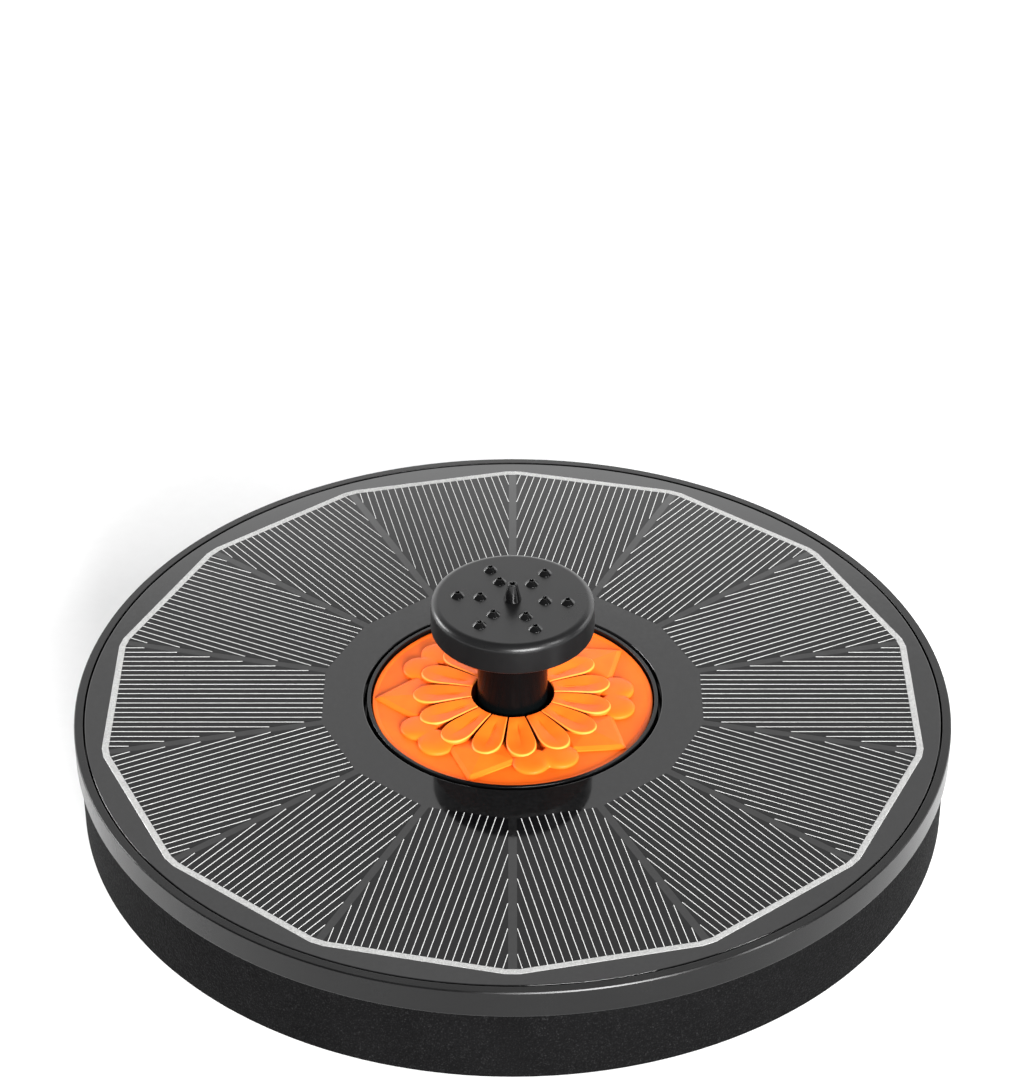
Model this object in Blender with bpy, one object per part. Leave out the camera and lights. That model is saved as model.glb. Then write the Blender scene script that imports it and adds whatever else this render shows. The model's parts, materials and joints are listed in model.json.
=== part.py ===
"""Solar fountain pump: a round floating solar panel with a pump under it and a spray head above it.

Metres, +Z up. The origin is on the ground under the middle of the pump. Run it with
blender --background --python part.py or from Blender's text editor.

Moving pieces hang from empties that stand on their joint axes: the rotor turns on its pin, the
riser pulls up off the pump's spigot, the spray head turns on the riser, and the intake basket
pulls down off the pump.
"""

import math

import bmesh
import bpy
from mathutils import Matrix

MM = 0.001

# Heights of the main planes.
PANEL_TOP = 35.0 * MM
TRAY_BOTTOM = 29.6 * MM
FLOAT_BOTTOM = 15.35 * MM
FLOOR_UNDER = 14.0 * MM
CAP_UNDER = 51.0 * MM
CAP_TOP = 56.8 * MM

GAP = 0.3 * MM

# The tray that carries the panel.
RIM_RADIUS = 80.0 * MM
RIM_ROUND = 0.6 * MM
RIM_INSIDE = 78.4 * MM
TRAY_FLOOR = 1.8 * MM
COLLAR_OUTER = 26.65 * MM
COLLAR_INNER = 26.0 * MM
TRAY_BORE = 5.3 * MM

# The panel and its cells.
CELL_COUNT = 14
PANEL_RADIUS = 78.05 * MM
PANEL_BORE = 27.4 * MM
BOARD_THICKNESS = 1.9 * MM
CELL_THICKNESS = 0.3 * MM
CELL_INNER = 34.7 * MM
CELL_OUTER = 72.2 * MM
SEPARATOR_HALF = 0.75 * MM
RIBBON_INNER = 72.5 * MM
RIBBON_OUTER = 73.75 * MM

# The float.
FLOAT_RADIUS = 79.3 * MM
FLOAT_BORE = 34.8 * MM
FLOAT_ROUND = 0.6 * MM

# The flower insert.
FLOWER_RADIUS = 25.7 * MM
FLOWER_BORE = 7.6 * MM
FLOWER_FLAT = PANEL_TOP - 0.8 * MM
PETAL_COUNT = 15
PETAL_TIP = 18.3 * MM
PETAL_RISE = 1.5 * MM

# The pump housing.
HOUSING_RADIUS = 33.2 * MM
HOUSING_INSIDE = 31.0 * MM
HOUSING_FLOOR = 1.6 * MM
SKIRT_INSIDE = 31.2 * MM
SKIRT_BOTTOM = 10.6 * MM
SPIGOT_RADIUS = 4.6 * MM
SPIGOT_BORE = 3.2 * MM
SPIGOT_TOP = 46.0 * MM
POST_CIRCLE = 28.4 * MM
POST_RADIUS = 3.0 * MM
SCREW_COUNT = 4

# The motor and the water path, round the rotor's axis.
ROTOR_X = -17.0 * MM
WELL_RADIUS = 5.8 * MM
WELL_BORE = 4.9 * MM
WELL_TOP = 26.9 * MM
WELL_CEILING = 26.2 * MM
CHAMBER_RADIUS = 9.3 * MM
CHAMBER_WALL = 11.3 * MM
CHAMBER_BOTTOM = 11.2 * MM
COVER_THICKNESS = 1.6 * MM
SHAFT_RADIUS = 0.9 * MM
SLEEVE_RADIUS = 2.3 * MM
MAGNET_RADIUS = 4.4 * MM
IMPELLER_RADIUS = 7.6 * MM
VANE_COUNT = 6
STATOR_RADIUS = 11.9 * MM
STATOR_INSIDE = 10.1 * MM
STATOR_LOW = 18.0 * MM
STATOR_HIGH = 25.0 * MM
POLE_COUNT = 4
COVER_EARS = ((-23.2 * MM, 11.15 * MM), (-23.2 * MM, -11.15 * MM), (8.4 * MM, 0.0))
EAR_RADIUS = 2.6 * MM
EAR_BORE = 1.15 * MM
INLET_CIRCLE = 3.6 * MM
INLET_RADIUS = 1.2 * MM
INLET_COUNT = 6

# The seal, the electronics and the leads.
GROOVE_BOTTOM = 28.2 * MM
GROOVE_INSIDE = 31.45 * MM
GROOVE_OUTSIDE = 32.75 * MM
SEAL_CIRCLE = 32.1 * MM
SEAL_HEIGHT = 28.9 * MM
SEAL_RADIUS = 0.4 * MM
BOARD_LOW = 22.0 * MM
BOARD_HIGH = 23.2 * MM
RESIN_LOW = 27.2 * MM
RESIN_HIGH = 28.9 * MM
LEAD_CIRCLE = 28.4 * MM
LEAD_SIDE = 4.0 * MM
PANEL_LEAD_RADIUS = 0.55 * MM
MOTOR_LEAD_RADIUS = 0.5 * MM
LEAD_HOLE = 0.9 * MM
POST_BORE = 1.25 * MM
BOSS_RADIUS = 2.3 * MM
BOSS_HEIGHT = 1.4 * MM

# The riser and the spray head.
RISER_RADIUS = 6.4 * MM
RISER_BORE = 4.9 * MM
NECK_RADIUS = 4.6 * MM
NECK_BORE = 3.4 * MM
CAP_RADIUS = 14.8 * MM
CAP_ROUND = 1.4 * MM
CAP_PLATE = 1.3 * MM
CAP_WALL = 1.8 * MM
CAP_FLOOR = 1.4 * MM
JET_BORE = 0.4 * MM
JET_FOOT = 1.25 * MM
JET_MOUTH = 0.6 * MM
JET_HEIGHT = 0.75 * MM
CENTRE_BORE = 0.5 * MM
CENTRE_FOOT = 1.6 * MM
CENTRE_MOUTH = 0.85 * MM
CENTRE_HEIGHT = 3.4 * MM
JET_RINGS = (5.85 * MM, 9.95 * MM)
JETS_PER_RING = 6
JET_TURN = math.radians(-6.1)

# The intake basket.
BASKET_WALL_TOP = 10.3 * MM
BASKET_LIP_TOP = 13.0 * MM
BASKET_INSIDE = 31.2 * MM
BASKET_FLOOR = 1.8 * MM
SIDE_SLOTS = 20
FLOOR_SLOTS = 12

# Facets round the turned pieces.
WIDE_STEPS = 72
MIDDLE_STEPS = 44
SMALL_STEPS = 32
ROTOR_STEPS = 20
HOLE_STEPS = 8
PIN_STEPS = 12
FLOWER_STEPS = 60
SMOOTH_ANGLE = math.radians(35.0)


def clear_scene():
    for obj in list(bpy.data.objects):
        bpy.data.objects.remove(obj, do_unlink=True)


def finish(name, colour, roughness, metallic=0.0):
    """A Principled material of one colour."""
    material = bpy.data.materials.new(name)
    material.use_nodes = True
    shader = material.node_tree.nodes["Principled BSDF"]
    shader.inputs["Base Color"].default_value = (*colour, 1.0)
    shader.inputs["Roughness"].default_value = roughness
    shader.inputs["Metallic"].default_value = metallic
    return material


def axis_empty(name, location, parent=None):
    """An empty on a joint axis, from which the pieces that move with it hang."""
    empty = bpy.data.objects.new(name, None)
    empty.location = location
    empty.parent = parent
    bpy.context.scene.collection.objects.link(empty)
    return empty


def place(name, bm, material=None, parent=None, location=(0.0, 0.0, 0.0), turn=0.0):
    """Makes an object of a bmesh whose faces may point either way."""
    bmesh.ops.recalc_face_normals(bm, faces=bm.faces)
    mesh = bpy.data.meshes.new(name)
    bm.to_mesh(mesh)
    bm.free()
    mesh.shade_smooth()
    mesh.set_sharp_from_angle(angle=SMOOTH_ANGLE)
    if material is not None:
        mesh.materials.append(material)
    obj = bpy.data.objects.new(name, mesh)
    obj.location = location
    obj.rotation_euler = (0.0, 0.0, turn)
    obj.parent = parent
    bpy.context.scene.collection.objects.link(obj)
    return obj


def circle(radius, steps, centre=(0.0, 0.0)):
    """The corners of a regular polygon, the first at +X."""
    return [
        (
            centre[0] + radius * math.cos(2.0 * math.pi * step / steps),
            centre[1] + radius * math.sin(2.0 * math.pi * step / steps),
        )
        for step in range(steps)
    ]


def polar(radius, angle, centre=(0.0, 0.0)):
    return (centre[0] + radius * math.cos(angle), centre[1] + radius * math.sin(angle))


def rectangle(x0, x1, y0, y1, angle=0.0):
    """A rectangle's corners, turned about the origin."""
    cos, sin = math.cos(angle), math.sin(angle)
    corners = ((x0, y0), (x1, y0), (x1, y1), (x0, y1))
    return [(x * cos - y * sin, x * sin + y * cos) for x, y in corners]


def hull_of_circles(first, first_radius, second, second_radius, steps):
    """The outline of a band round two circles on one line parallel to X, the second at +X."""
    spread = math.acos((first_radius - second_radius) / (second[0] - first[0]))
    outline = []
    for step in range(steps + 1):
        angle = spread + (2.0 * math.pi - 2.0 * spread) * step / steps
        outline.append(polar(first_radius, angle, first))
    for step in range(steps + 1):
        angle = -spread + 2.0 * spread * step / steps
        outline.append(polar(second_radius, angle, second))
    return outline


def add_prism(bm, outline, low, high):
    """Adds a straight prism with this outline to a bmesh."""
    face = bm.faces.new([bm.verts.new((x, y, low)) for x, y in outline])
    extruded = bmesh.ops.extrude_face_region(bm, geom=[face], use_keep_orig=True)
    top = [item for item in extruded["geom"] if isinstance(item, bmesh.types.BMVert)]
    bmesh.ops.translate(bm, verts=top, vec=(0.0, 0.0, high - low))


def add_turned(bm, profile, steps, centre=(0.0, 0.0)):
    """Turns a profile of (radius, height) points about Z. Ends on the axis leave the loop open."""
    on_axis = profile[0][0] == 0.0 and profile[-1][0] == 0.0
    verts = [bm.verts.new((centre[0] + radius, centre[1], height)) for radius, height in profile]
    edges = [bm.edges.new(pair) for pair in zip(verts, verts[1:])]
    if not on_axis:
        edges.append(bm.edges.new((verts[-1], verts[0])))
    bmesh.ops.spin(
        bm,
        geom=verts + edges,
        cent=(*centre, 0.0),
        axis=(0.0, 0.0, 1.0),
        angle=2.0 * math.pi,
        steps=steps,
    )
    bmesh.ops.remove_doubles(bm, verts=bm.verts, dist=0.001 * MM)


def prisms(name, pieces, **placing):
    """One object of several straight prisms, each (outline, low, high)."""
    bm = bmesh.new()
    for outline, low, high in pieces:
        add_prism(bm, outline, low, high)
    return place(name, bm, **placing)


def turned(name, profile, steps, **placing):
    bm = bmesh.new()
    add_turned(bm, profile, steps)
    return place(name, bm, **placing)


def tube(inner, outer, low, high):
    """The profile of a plain ring."""
    return [(outer, low), (outer, high), (inner, high), (inner, low)]


def arc(centre_radius, centre_height, radius, start, end, steps):
    """Points of a rounded corner in a turned profile."""
    points = []
    for step in range(steps + 1):
        angle = start + (end - start) * step / steps
        points.append((centre_radius + radius * math.cos(angle), centre_height + radius * math.sin(angle)))
    return points


def combine(target, tool, operation):
    """Joins a tool to a piece, or cuts it out, with an exact Boolean."""
    tool.hide_render = True
    tool.display_type = "WIRE"
    modifier = target.modifiers.new(tool.name, "BOOLEAN")
    modifier.operation = operation
    modifier.solver = "EXACT"
    modifier.object = tool


def turned_about(outline, centre, angle):
    """An outline turned about the origin and moved to a centre."""
    cos, sin = math.cos(angle), math.sin(angle)
    return [(centre[0] + x * cos - y * sin, centre[1] + x * sin + y * cos) for x, y in outline]


def post_places():
    return [polar(POST_CIRCLE, math.radians(45.0 + 90.0 * index)) for index in range(SCREW_COUNT)]


def lead_places():
    return [(LEAD_CIRCLE, side * LEAD_SIDE) for side in (-1.0, 1.0)]


def make_tray(material):
    """The rim, the floor under the panel and the collar round the flower, with its screw bosses."""
    floor_top = TRAY_BOTTOM + TRAY_FLOOR
    profile = [(RIM_RADIUS, TRAY_BOTTOM)]
    profile += arc(RIM_RADIUS - RIM_ROUND, PANEL_TOP - RIM_ROUND, RIM_ROUND, 0.0, math.pi / 2.0, 2)
    profile += [
        (RIM_INSIDE, PANEL_TOP),
        (RIM_INSIDE, floor_top),
        (COLLAR_OUTER, floor_top),
        (COLLAR_OUTER, PANEL_TOP),
        (COLLAR_INNER, PANEL_TOP),
        (COLLAR_INNER, floor_top),
        (TRAY_BORE, floor_top),
        (TRAY_BORE, TRAY_BOTTOM),
    ]
    tray = turned("top_housing", profile, WIDE_STEPS, material=material)
    boss_top = floor_top + BOSS_HEIGHT
    boss_low = floor_top - 0.5 * MM
    bosses = [(circle(BOSS_RADIUS, PIN_STEPS, spot), boss_low, boss_top) for spot in post_places()]
    combine(tray, prisms("tray_boss_shape", bosses), "UNION")
    hole_top = boss_top - 0.6 * MM
    holes = [(circle(POST_BORE, HOLE_STEPS, spot), TRAY_BOTTOM - MM, hole_top) for spot in post_places()]
    holes += [(circle(LEAD_HOLE, HOLE_STEPS, spot), TRAY_BOTTOM - MM, PANEL_TOP) for spot in lead_places()]
    combine(tray, prisms("tray_hole_shape", holes), "DIFFERENCE")


def cell_outline(index, inner, outer, side):
    """A cell's four corners: parallel ends at two apothems, sides held off the separators' lines."""
    half_angle = math.pi / CELL_COUNT
    slope = math.tan(half_angle)
    offset = side / math.cos(half_angle)
    half_inner = inner * slope - offset
    half_outer = outer * slope - offset
    trapezoid = [(inner, -half_inner), (outer, -half_outer), (outer, half_outer), (inner, half_inner)]
    middle = -math.pi / 2.0 + (2 * index + 1) * half_angle
    return turned_about(trapezoid, (0.0, 0.0), middle)


def add_polygon_ring(bm, inner, outer, low, high):
    """A ring with as many straight sides as there are cells, with a corner at -Y."""
    to_corner = 1.0 / math.cos(math.pi / CELL_COUNT)
    profile = tube(inner * to_corner, outer * to_corner, low, high)
    add_turned(bm, profile, CELL_COUNT)
    bmesh.ops.rotate(bm, verts=bm.verts, matrix=Matrix.Rotation(-math.pi / 2.0, 3, "Z"))


def make_panel(board_material, cell_material, ribbon_material, tape_material):
    """The board with a pocket for each cell and for the ribbon round them, and the tape under it."""
    bottom = PANEL_TOP - BOARD_THICKNESS
    pocket = PANEL_TOP - CELL_THICKNESS - GAP
    above = PANEL_TOP + MM
    board = turned("panel_board", tube(PANEL_BORE, PANEL_RADIUS, bottom, PANEL_TOP), WIDE_STEPS,
                   material=board_material)
    pockets = [
        (cell_outline(index, CELL_INNER - GAP, CELL_OUTER + GAP / 2.0, SEPARATOR_HALF - GAP), pocket, above)
        for index in range(CELL_COUNT)
    ]
    combine(board, prisms("cell_pocket_shape", pockets), "DIFFERENCE")
    bm = bmesh.new()
    add_polygon_ring(bm, RIBBON_INNER - GAP, RIBBON_OUTER + GAP, pocket, above)
    combine(board, place("ribbon_pocket_shape", bm), "DIFFERENCE")

    for index in range(CELL_COUNT):
        outline = cell_outline(index, CELL_INNER, CELL_OUTER, SEPARATOR_HALF)
        prisms(f"solar_cell_{index + 1:02d}", [(outline, PANEL_TOP - CELL_THICKNESS, PANEL_TOP)],
               material=cell_material)
    bm = bmesh.new()
    add_polygon_ring(bm, RIBBON_INNER, RIBBON_OUTER, PANEL_TOP - CELL_THICKNESS, PANEL_TOP)
    place("border_ribbon", bm, material=ribbon_material)

    tape_low = TRAY_BOTTOM + TRAY_FLOOR + GAP
    tape_high = bottom - GAP
    turned("panel_tape_outer", tube(71.0 * MM, 77.0 * MM, tape_low, tape_high), MIDDLE_STEPS,
           material=tape_material)
    turned("panel_tape_inner", tube(33.0 * MM, 38.0 * MM, tape_low, tape_high), SMALL_STEPS,
           material=tape_material)


def make_float(material):
    """The foam ring that the tray is glued to."""
    top = TRAY_BOTTOM - GAP
    profile = arc(FLOAT_RADIUS - FLOAT_ROUND, FLOAT_BOTTOM + FLOAT_ROUND, FLOAT_ROUND, -math.pi / 2.0, 0.0, 3)
    profile += [(FLOAT_RADIUS, top), (FLOAT_BORE, top)]
    profile += [(FLOAT_BORE, FLOAT_BOTTOM + MM), (FLOAT_BORE + MM, FLOAT_BOTTOM)]
    turned("float_ring", profile, WIDE_STEPS, material=material)


def petal_rise(radius, angle):
    """How far the flower's top stands above its flat at one place.

    Each petal is highest along its crease at the bore and falls to the seams, as the cosine of the
    angle across it, and to its round tip.
    """
    across = math.cos(angle * PETAL_COUNT / 2.0 + math.pi / 2.0) ** 2
    along = max(0.0, 1.0 - (radius / PETAL_TIP) ** 6)
    return PETAL_RISE * (0.55 + 0.45 * across) * along


def make_flower(material):
    """The moulded flower that drops into the collar, standing on an outer and an inner skirt."""
    foot = TRAY_BOTTOM + TRAY_FLOOR + GAP
    under = FLOWER_FLAT - 1.5 * MM
    wall = 1.4 * MM
    top_radii = [FLOWER_RADIUS, 20.0 * MM, PETAL_TIP, 17.2 * MM, 15.0 * MM, 11.0 * MM, FLOWER_BORE]
    lower = [
        (FLOWER_BORE, foot),
        (FLOWER_BORE + wall, foot),
        (FLOWER_BORE + wall, under),
        (FLOWER_RADIUS - wall, under),
        (FLOWER_RADIUS - wall, foot),
        (FLOWER_RADIUS, foot),
    ]
    bm = bmesh.new()
    rows = []
    for step in range(FLOWER_STEPS):
        angle = 2.0 * math.pi * step / FLOWER_STEPS
        column = [(radius, FLOWER_FLAT + petal_rise(radius, angle)) for radius in top_radii] + lower
        rows.append([bm.verts.new((*polar(radius, angle), height)) for radius, height in column])
    for step, row in enumerate(rows):
        following = rows[(step + 1) % FLOWER_STEPS]
        for place_in_row in range(len(row)):
            after = (place_in_row + 1) % len(row)
            corners = (row[place_in_row], row[after], following[after], following[place_in_row])
            bm.faces.new(corners)
    bmesh.ops.triangulate(bm, faces=bm.faces)
    place("flower_insert", bm, material=material)


def chamber_outline():
    return hull_of_circles((ROTOR_X, 0.0), CHAMBER_WALL, (0.0, 0.0), 6.0 * MM, 9)


def make_housing(material):
    """The sealed pump body: cup, spigot, screw posts, rotor well, chamber wall and outlet passage."""
    rim = TRAY_BOTTOM - GAP
    floor_top = FLOOR_UNDER + HOUSING_FLOOR
    profile = [
        (SPIGOT_BORE, FLOOR_UNDER),
        (SPIGOT_BORE, SPIGOT_TOP),
        (SPIGOT_RADIUS - 0.4 * MM, SPIGOT_TOP),
        (SPIGOT_RADIUS, SPIGOT_TOP - MM),
        (SPIGOT_RADIUS, floor_top),
        (HOUSING_INSIDE, floor_top),
        (HOUSING_INSIDE, rim),
        (GROOVE_INSIDE, rim),
        (GROOVE_INSIDE, GROOVE_BOTTOM),
        (GROOVE_OUTSIDE, GROOVE_BOTTOM),
        (GROOVE_OUTSIDE, rim),
        (HOUSING_RADIUS, rim),
        (HOUSING_RADIUS, SKIRT_BOTTOM),
        (SKIRT_INSIDE, SKIRT_BOTTOM),
        (SKIRT_INSIDE, FLOOR_UNDER),
    ]
    housing = turned("pump_housing", profile, MIDDLE_STEPS, material=material)
    added = [(circle(POST_RADIUS, PIN_STEPS, spot), floor_top - 0.5 * MM, rim - 0.1 * MM)
             for spot in post_places()]
    added.append((circle(WELL_RADIUS, ROTOR_STEPS, (ROTOR_X, 0.0)), floor_top - 0.5 * MM, WELL_TOP))
    combine(housing, prisms("post_and_well_shape", added), "UNION")
    chamber = [(chamber_outline(), CHAMBER_BOTTOM, FLOOR_UNDER + 0.6 * MM)]
    combine(housing, prisms("chamber_wall_shape", chamber), "UNION")
    ears = [(circle(EAR_RADIUS, PIN_STEPS, spot), CHAMBER_BOTTOM + 0.1 * MM, FLOOR_UNDER + 0.7 * MM)
            for spot in COVER_EARS]
    combine(housing, prisms("ear_shape", ears), "UNION")

    below = CHAMBER_BOTTOM - MM
    channel_turn = math.pi - math.asin(7.0 / 17.0)
    channel = rectangle(0.0, 15.5 * MM, -2.2 * MM, 2.2 * MM, channel_turn)
    rotor = (ROTOR_X, 0.0)
    cuts = {
        "chamber_shape": [(circle(CHAMBER_RADIUS, ROTOR_STEPS, rotor), below, FLOOR_UNDER)],
        "well_bore_shape": [(circle(WELL_BORE, ROTOR_STEPS, rotor), FLOOR_UNDER - 0.5 * MM, WELL_CEILING)],
        "outlet_passage_shape": [(channel, below, FLOOR_UNDER - 0.1 * MM)],
        "outlet_bore_shape": [(circle(SPIGOT_BORE - 0.05 * MM, ROTOR_STEPS), below, FLOOR_UNDER + 2.0 * MM)],
        "post_bore_shape": [(circle(POST_BORE, HOLE_STEPS, spot), FLOOR_UNDER, rim + MM)
                            for spot in post_places()],
        "head_recess_shape": [(circle(2.5 * MM, PIN_STEPS, spot), FLOOR_UNDER - MM, FLOOR_UNDER + 2.5 * MM)
                              for spot in post_places()],
        "ear_bore_shape": [(circle(EAR_BORE, HOLE_STEPS, spot), below, FLOOR_UNDER) for spot in COVER_EARS],
    }
    for name, pieces in cuts.items():
        combine(housing, prisms(name, pieces), "DIFFERENCE")


def make_seal(material):
    """The round seal in the housing's rim."""
    profile = arc(SEAL_CIRCLE, SEAL_HEIGHT, SEAL_RADIUS, 0.0, 2.0 * math.pi * 5.0 / 6.0, 5)
    turned("housing_seal", profile, MIDDLE_STEPS, material=material)


def screw(name, spot, head_radius, shank_radius, head_low, head_high, tip, material):
    """A screw that points up, with a chamfered tip and a round recess in its head."""
    recess = head_radius * 0.5
    recess_end = (head_low + head_high) * 0.5
    profile = [
        (0.0, recess_end),
        (recess, recess_end),
        (recess, head_low),
        (head_radius, head_low),
        (head_radius, head_high),
        (shank_radius, head_high),
        (shank_radius, tip - 0.5 * MM),
        (shank_radius * 0.5, tip),
        (0.0, tip),
    ]
    turned(name, profile, HOLE_STEPS, material=material, location=(*spot, 0.0))


def make_screws(material):
    for index, spot in enumerate(post_places()):
        screw(f"housing_screw_{index + 1}", spot, 2.2 * MM, 0.95 * MM, FLOOR_UNDER + GAP,
              FLOOR_UNDER + 2.2 * MM, 31.8 * MM, material)
    cover_low = CHAMBER_BOTTOM - GAP - COVER_THICKNESS
    for index, spot in enumerate(COVER_EARS):
        screw(f"cover_screw_{index + 1}", spot, 1.7 * MM, 0.85 * MM, cover_low - 1.5 * MM,
              cover_low - GAP, FLOOR_UNDER - 0.5 * MM, material)


def make_chamber_cover(material):
    """The plate that closes the chamber, with six inlet holes round the shaft's end."""
    high = CHAMBER_BOTTOM - GAP
    low = high - COVER_THICKNESS
    cover = prisms("chamber_cover", [(chamber_outline(), low, high)], material=material)
    ears = [(circle(EAR_RADIUS, PIN_STEPS, spot), low + 0.05 * MM, high - 0.05 * MM) for spot in COVER_EARS]
    combine(cover, prisms("cover_ear_shape", ears), "UNION")
    holes = [(circle(EAR_BORE, HOLE_STEPS, spot), low - MM, high + MM) for spot in COVER_EARS]
    for index in range(INLET_COUNT):
        spot = polar(INLET_CIRCLE, 2.0 * math.pi * index / INLET_COUNT, (ROTOR_X, 0.0))
        holes.append((circle(INLET_RADIUS, HOLE_STEPS, spot), low - MM, high + MM))
    combine(cover, prisms("cover_hole_shape", holes), "DIFFERENCE")


def make_stator(core_material, coil_material):
    """The laminated ring with its poles, and a coil round each pole."""
    core = turned("stator_core", tube(STATOR_INSIDE, STATOR_RADIUS, STATOR_LOW, STATOR_HIGH), SMALL_STEPS,
                  material=core_material, location=(ROTOR_X, 0.0, 0.0))
    pole = rectangle(6.2 * MM, 10.8 * MM, -1.5 * MM, 1.5 * MM)
    turns = [math.radians(45.0 + 90.0 * index) for index in range(POLE_COUNT)]
    poles = [(turned_about(pole, (ROTOR_X, 0.0), turn), STATOR_LOW + 0.1 * MM, STATOR_HIGH - 0.1 * MM)
             for turn in turns]
    combine(core, prisms("pole_shape", poles), "UNION")
    for index, turn in enumerate(turns):
        outer = turned_about(rectangle(6.8 * MM, 9.3 * MM, -2.9 * MM, 2.9 * MM), (ROTOR_X, 0.0), turn)
        inner = turned_about(rectangle(6.0 * MM, 10.0 * MM, -1.8 * MM, 1.8 * MM), (ROTOR_X, 0.0), turn)
        coil = prisms(f"coil_{index + 1}", [(outer, STATOR_LOW - 1.6 * MM, STATOR_HIGH + 1.6 * MM)],
                      material=coil_material)
        window = [(inner, STATOR_LOW - GAP, STATOR_HIGH + GAP)]
        combine(coil, prisms(f"coil_window_shape_{index + 1}", window), "DIFFERENCE")


def make_electronics(board_material, part_material, potting_material):
    """The control board, what is soldered to it, and the resin that seals them in."""
    board = rectangle(8.0 * MM, 29.4 * MM, -8.0 * MM, 8.0 * MM)
    prisms("control_board", [(board, BOARD_LOW, BOARD_HIGH)], material=board_material)
    can_low, can_high, can_radius = FLOOR_UNDER + 1.9 * MM, BOARD_LOW - GAP, 3.0 * MM
    can = [(0.0, can_low), (can_radius, can_low), (can_radius, can_high), (0.0, can_high)]
    turned("smoothing_capacitor", can, PIN_STEPS, material=part_material, location=(14.0 * MM, 0.0, 0.0))
    chip = rectangle(16.5 * MM, 23.5 * MM, -2.6 * MM, 2.6 * MM)
    prisms("driver_chip", [(chip, BOARD_HIGH + GAP, BOARD_HIGH + 1.7 * MM)], material=part_material)
    potting = turned("potting_layer", tube(SPIGOT_RADIUS + GAP, HOUSING_INSIDE - GAP, RESIN_LOW, RESIN_HIGH),
                     MIDDLE_STEPS, material=potting_material)
    low, high = RESIN_LOW - MM, RESIN_HIGH + MM
    holes = [(circle(POST_RADIUS + GAP, PIN_STEPS, spot), low, high) for spot in post_places()]
    holes += [(circle(LEAD_HOLE, HOLE_STEPS, spot), low, high) for spot in lead_places()]
    combine(potting, prisms("potting_hole_shape", holes), "DIFFERENCE")


def lead(name, points, radius, material):
    """A round wire along a smooth run of points."""
    curve = bpy.data.curves.new(name, "CURVE")
    curve.dimensions = "3D"
    spline = curve.splines.new("POLY")
    spline.points.add(len(points) - 1)
    for point, position in zip(spline.points, points):
        point.co = (*position, 1.0)
    curve.bevel_depth = radius
    curve.bevel_resolution = 2
    curve.use_fill_caps = True
    curve.materials.append(material)
    obj = bpy.data.objects.new(name, curve)
    bpy.context.scene.collection.objects.link(obj)


def bezier(start, start_handle, end_handle, end, steps):
    """Points along one cubic curve."""
    points = []
    for step in range(steps + 1):
        t = step / steps
        weights = ((1 - t) ** 3, 3 * t * (1 - t) ** 2, 3 * t * t * (1 - t), t ** 3)
        corners = (start, start_handle, end_handle, end)
        points.append(tuple(sum(w * c[axis] for w, c in zip(weights, corners)) for axis in range(3)))
    return points


def make_leads(red, black):
    """Two leads from the panel down to the board, and two from the board to the coils."""
    for (x, y), colour, name in zip(lead_places(), (black, red), ("negative", "positive")):
        down = [(x, y, BOARD_HIGH + 0.4 * MM), (x, y, 28.0 * MM), (x, y, 32.7 * MM)]
        lead(f"panel_lead_{name}", down, PANEL_LEAD_RADIUS, colour)
        side = math.copysign(1.0, y)
        start = (11.0 * MM, side * 6.5 * MM, 24.2 * MM)
        start_handle = (6.0 * MM, side * 7.5 * MM, 26.2 * MM)
        end_handle = (-2.0 * MM, side * 9.2 * MM, 25.9 * MM)
        end = (-9.2 * MM, side * 7.9 * MM, 25.9 * MM)
        across = bezier(start, start_handle, end_handle, end, 10)
        lead(f"motor_lead_{name}", across, MOTOR_LEAD_RADIUS, colour)


def make_rotor(empty, steel, magnet, plastic, rubber):
    """The pin and its two washers stand still. The magnet and the impeller turn on the pin."""
    pin_place = (ROTOR_X, 0.0, 0.0)
    pin_low = CHAMBER_BOTTOM
    pin_high = WELL_CEILING - GAP
    turned("rotor_pin", [(0.0, pin_low), (SHAFT_RADIUS, pin_low), (SHAFT_RADIUS, pin_high), (0.0, pin_high)],
           PIN_STEPS, material=steel, location=pin_place)
    washer = tube(SHAFT_RADIUS + GAP, 2.2 * MM, 0.0, 0.6 * MM)
    for name, low in (("lower", pin_low), ("upper", pin_high - 0.6 * MM)):
        turned(f"thrust_washer_{name}", washer, PIN_STEPS, material=rubber, location=(ROTOR_X, 0.0, low))

    turned("rotor_magnet", tube(SLEEVE_RADIUS + GAP, MAGNET_RADIUS, 14.3 * MM, 24.6 * MM), ROTOR_STEPS,
           material=magnet, parent=empty)
    disc_low = 13.0 * MM
    disc_high = 13.7 * MM
    hub_low = 12.1 * MM
    sleeve_top = 25.0 * MM
    profile = [
        (SHAFT_RADIUS + GAP, hub_low),
        (2.6 * MM, hub_low),
        (2.6 * MM, disc_low),
        (IMPELLER_RADIUS, disc_low),
        (IMPELLER_RADIUS, disc_high),
        (SLEEVE_RADIUS, disc_high),
        (SLEEVE_RADIUS, sleeve_top),
        (SHAFT_RADIUS + GAP, sleeve_top),
    ]
    impeller = turned("impeller", profile, ROTOR_STEPS, material=plastic, parent=empty)
    vane = rectangle(2.5 * MM, 7.3 * MM, -0.45 * MM, 0.45 * MM)
    vanes = [(turned_about(vane, (0.0, 0.0), 2.0 * math.pi * (index + 0.25) / VANE_COUNT), 11.5 * MM,
              disc_low + 0.3 * MM) for index in range(VANE_COUNT)]
    combine(impeller, prisms("vane_shape", vanes, parent=empty), "UNION")


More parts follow.
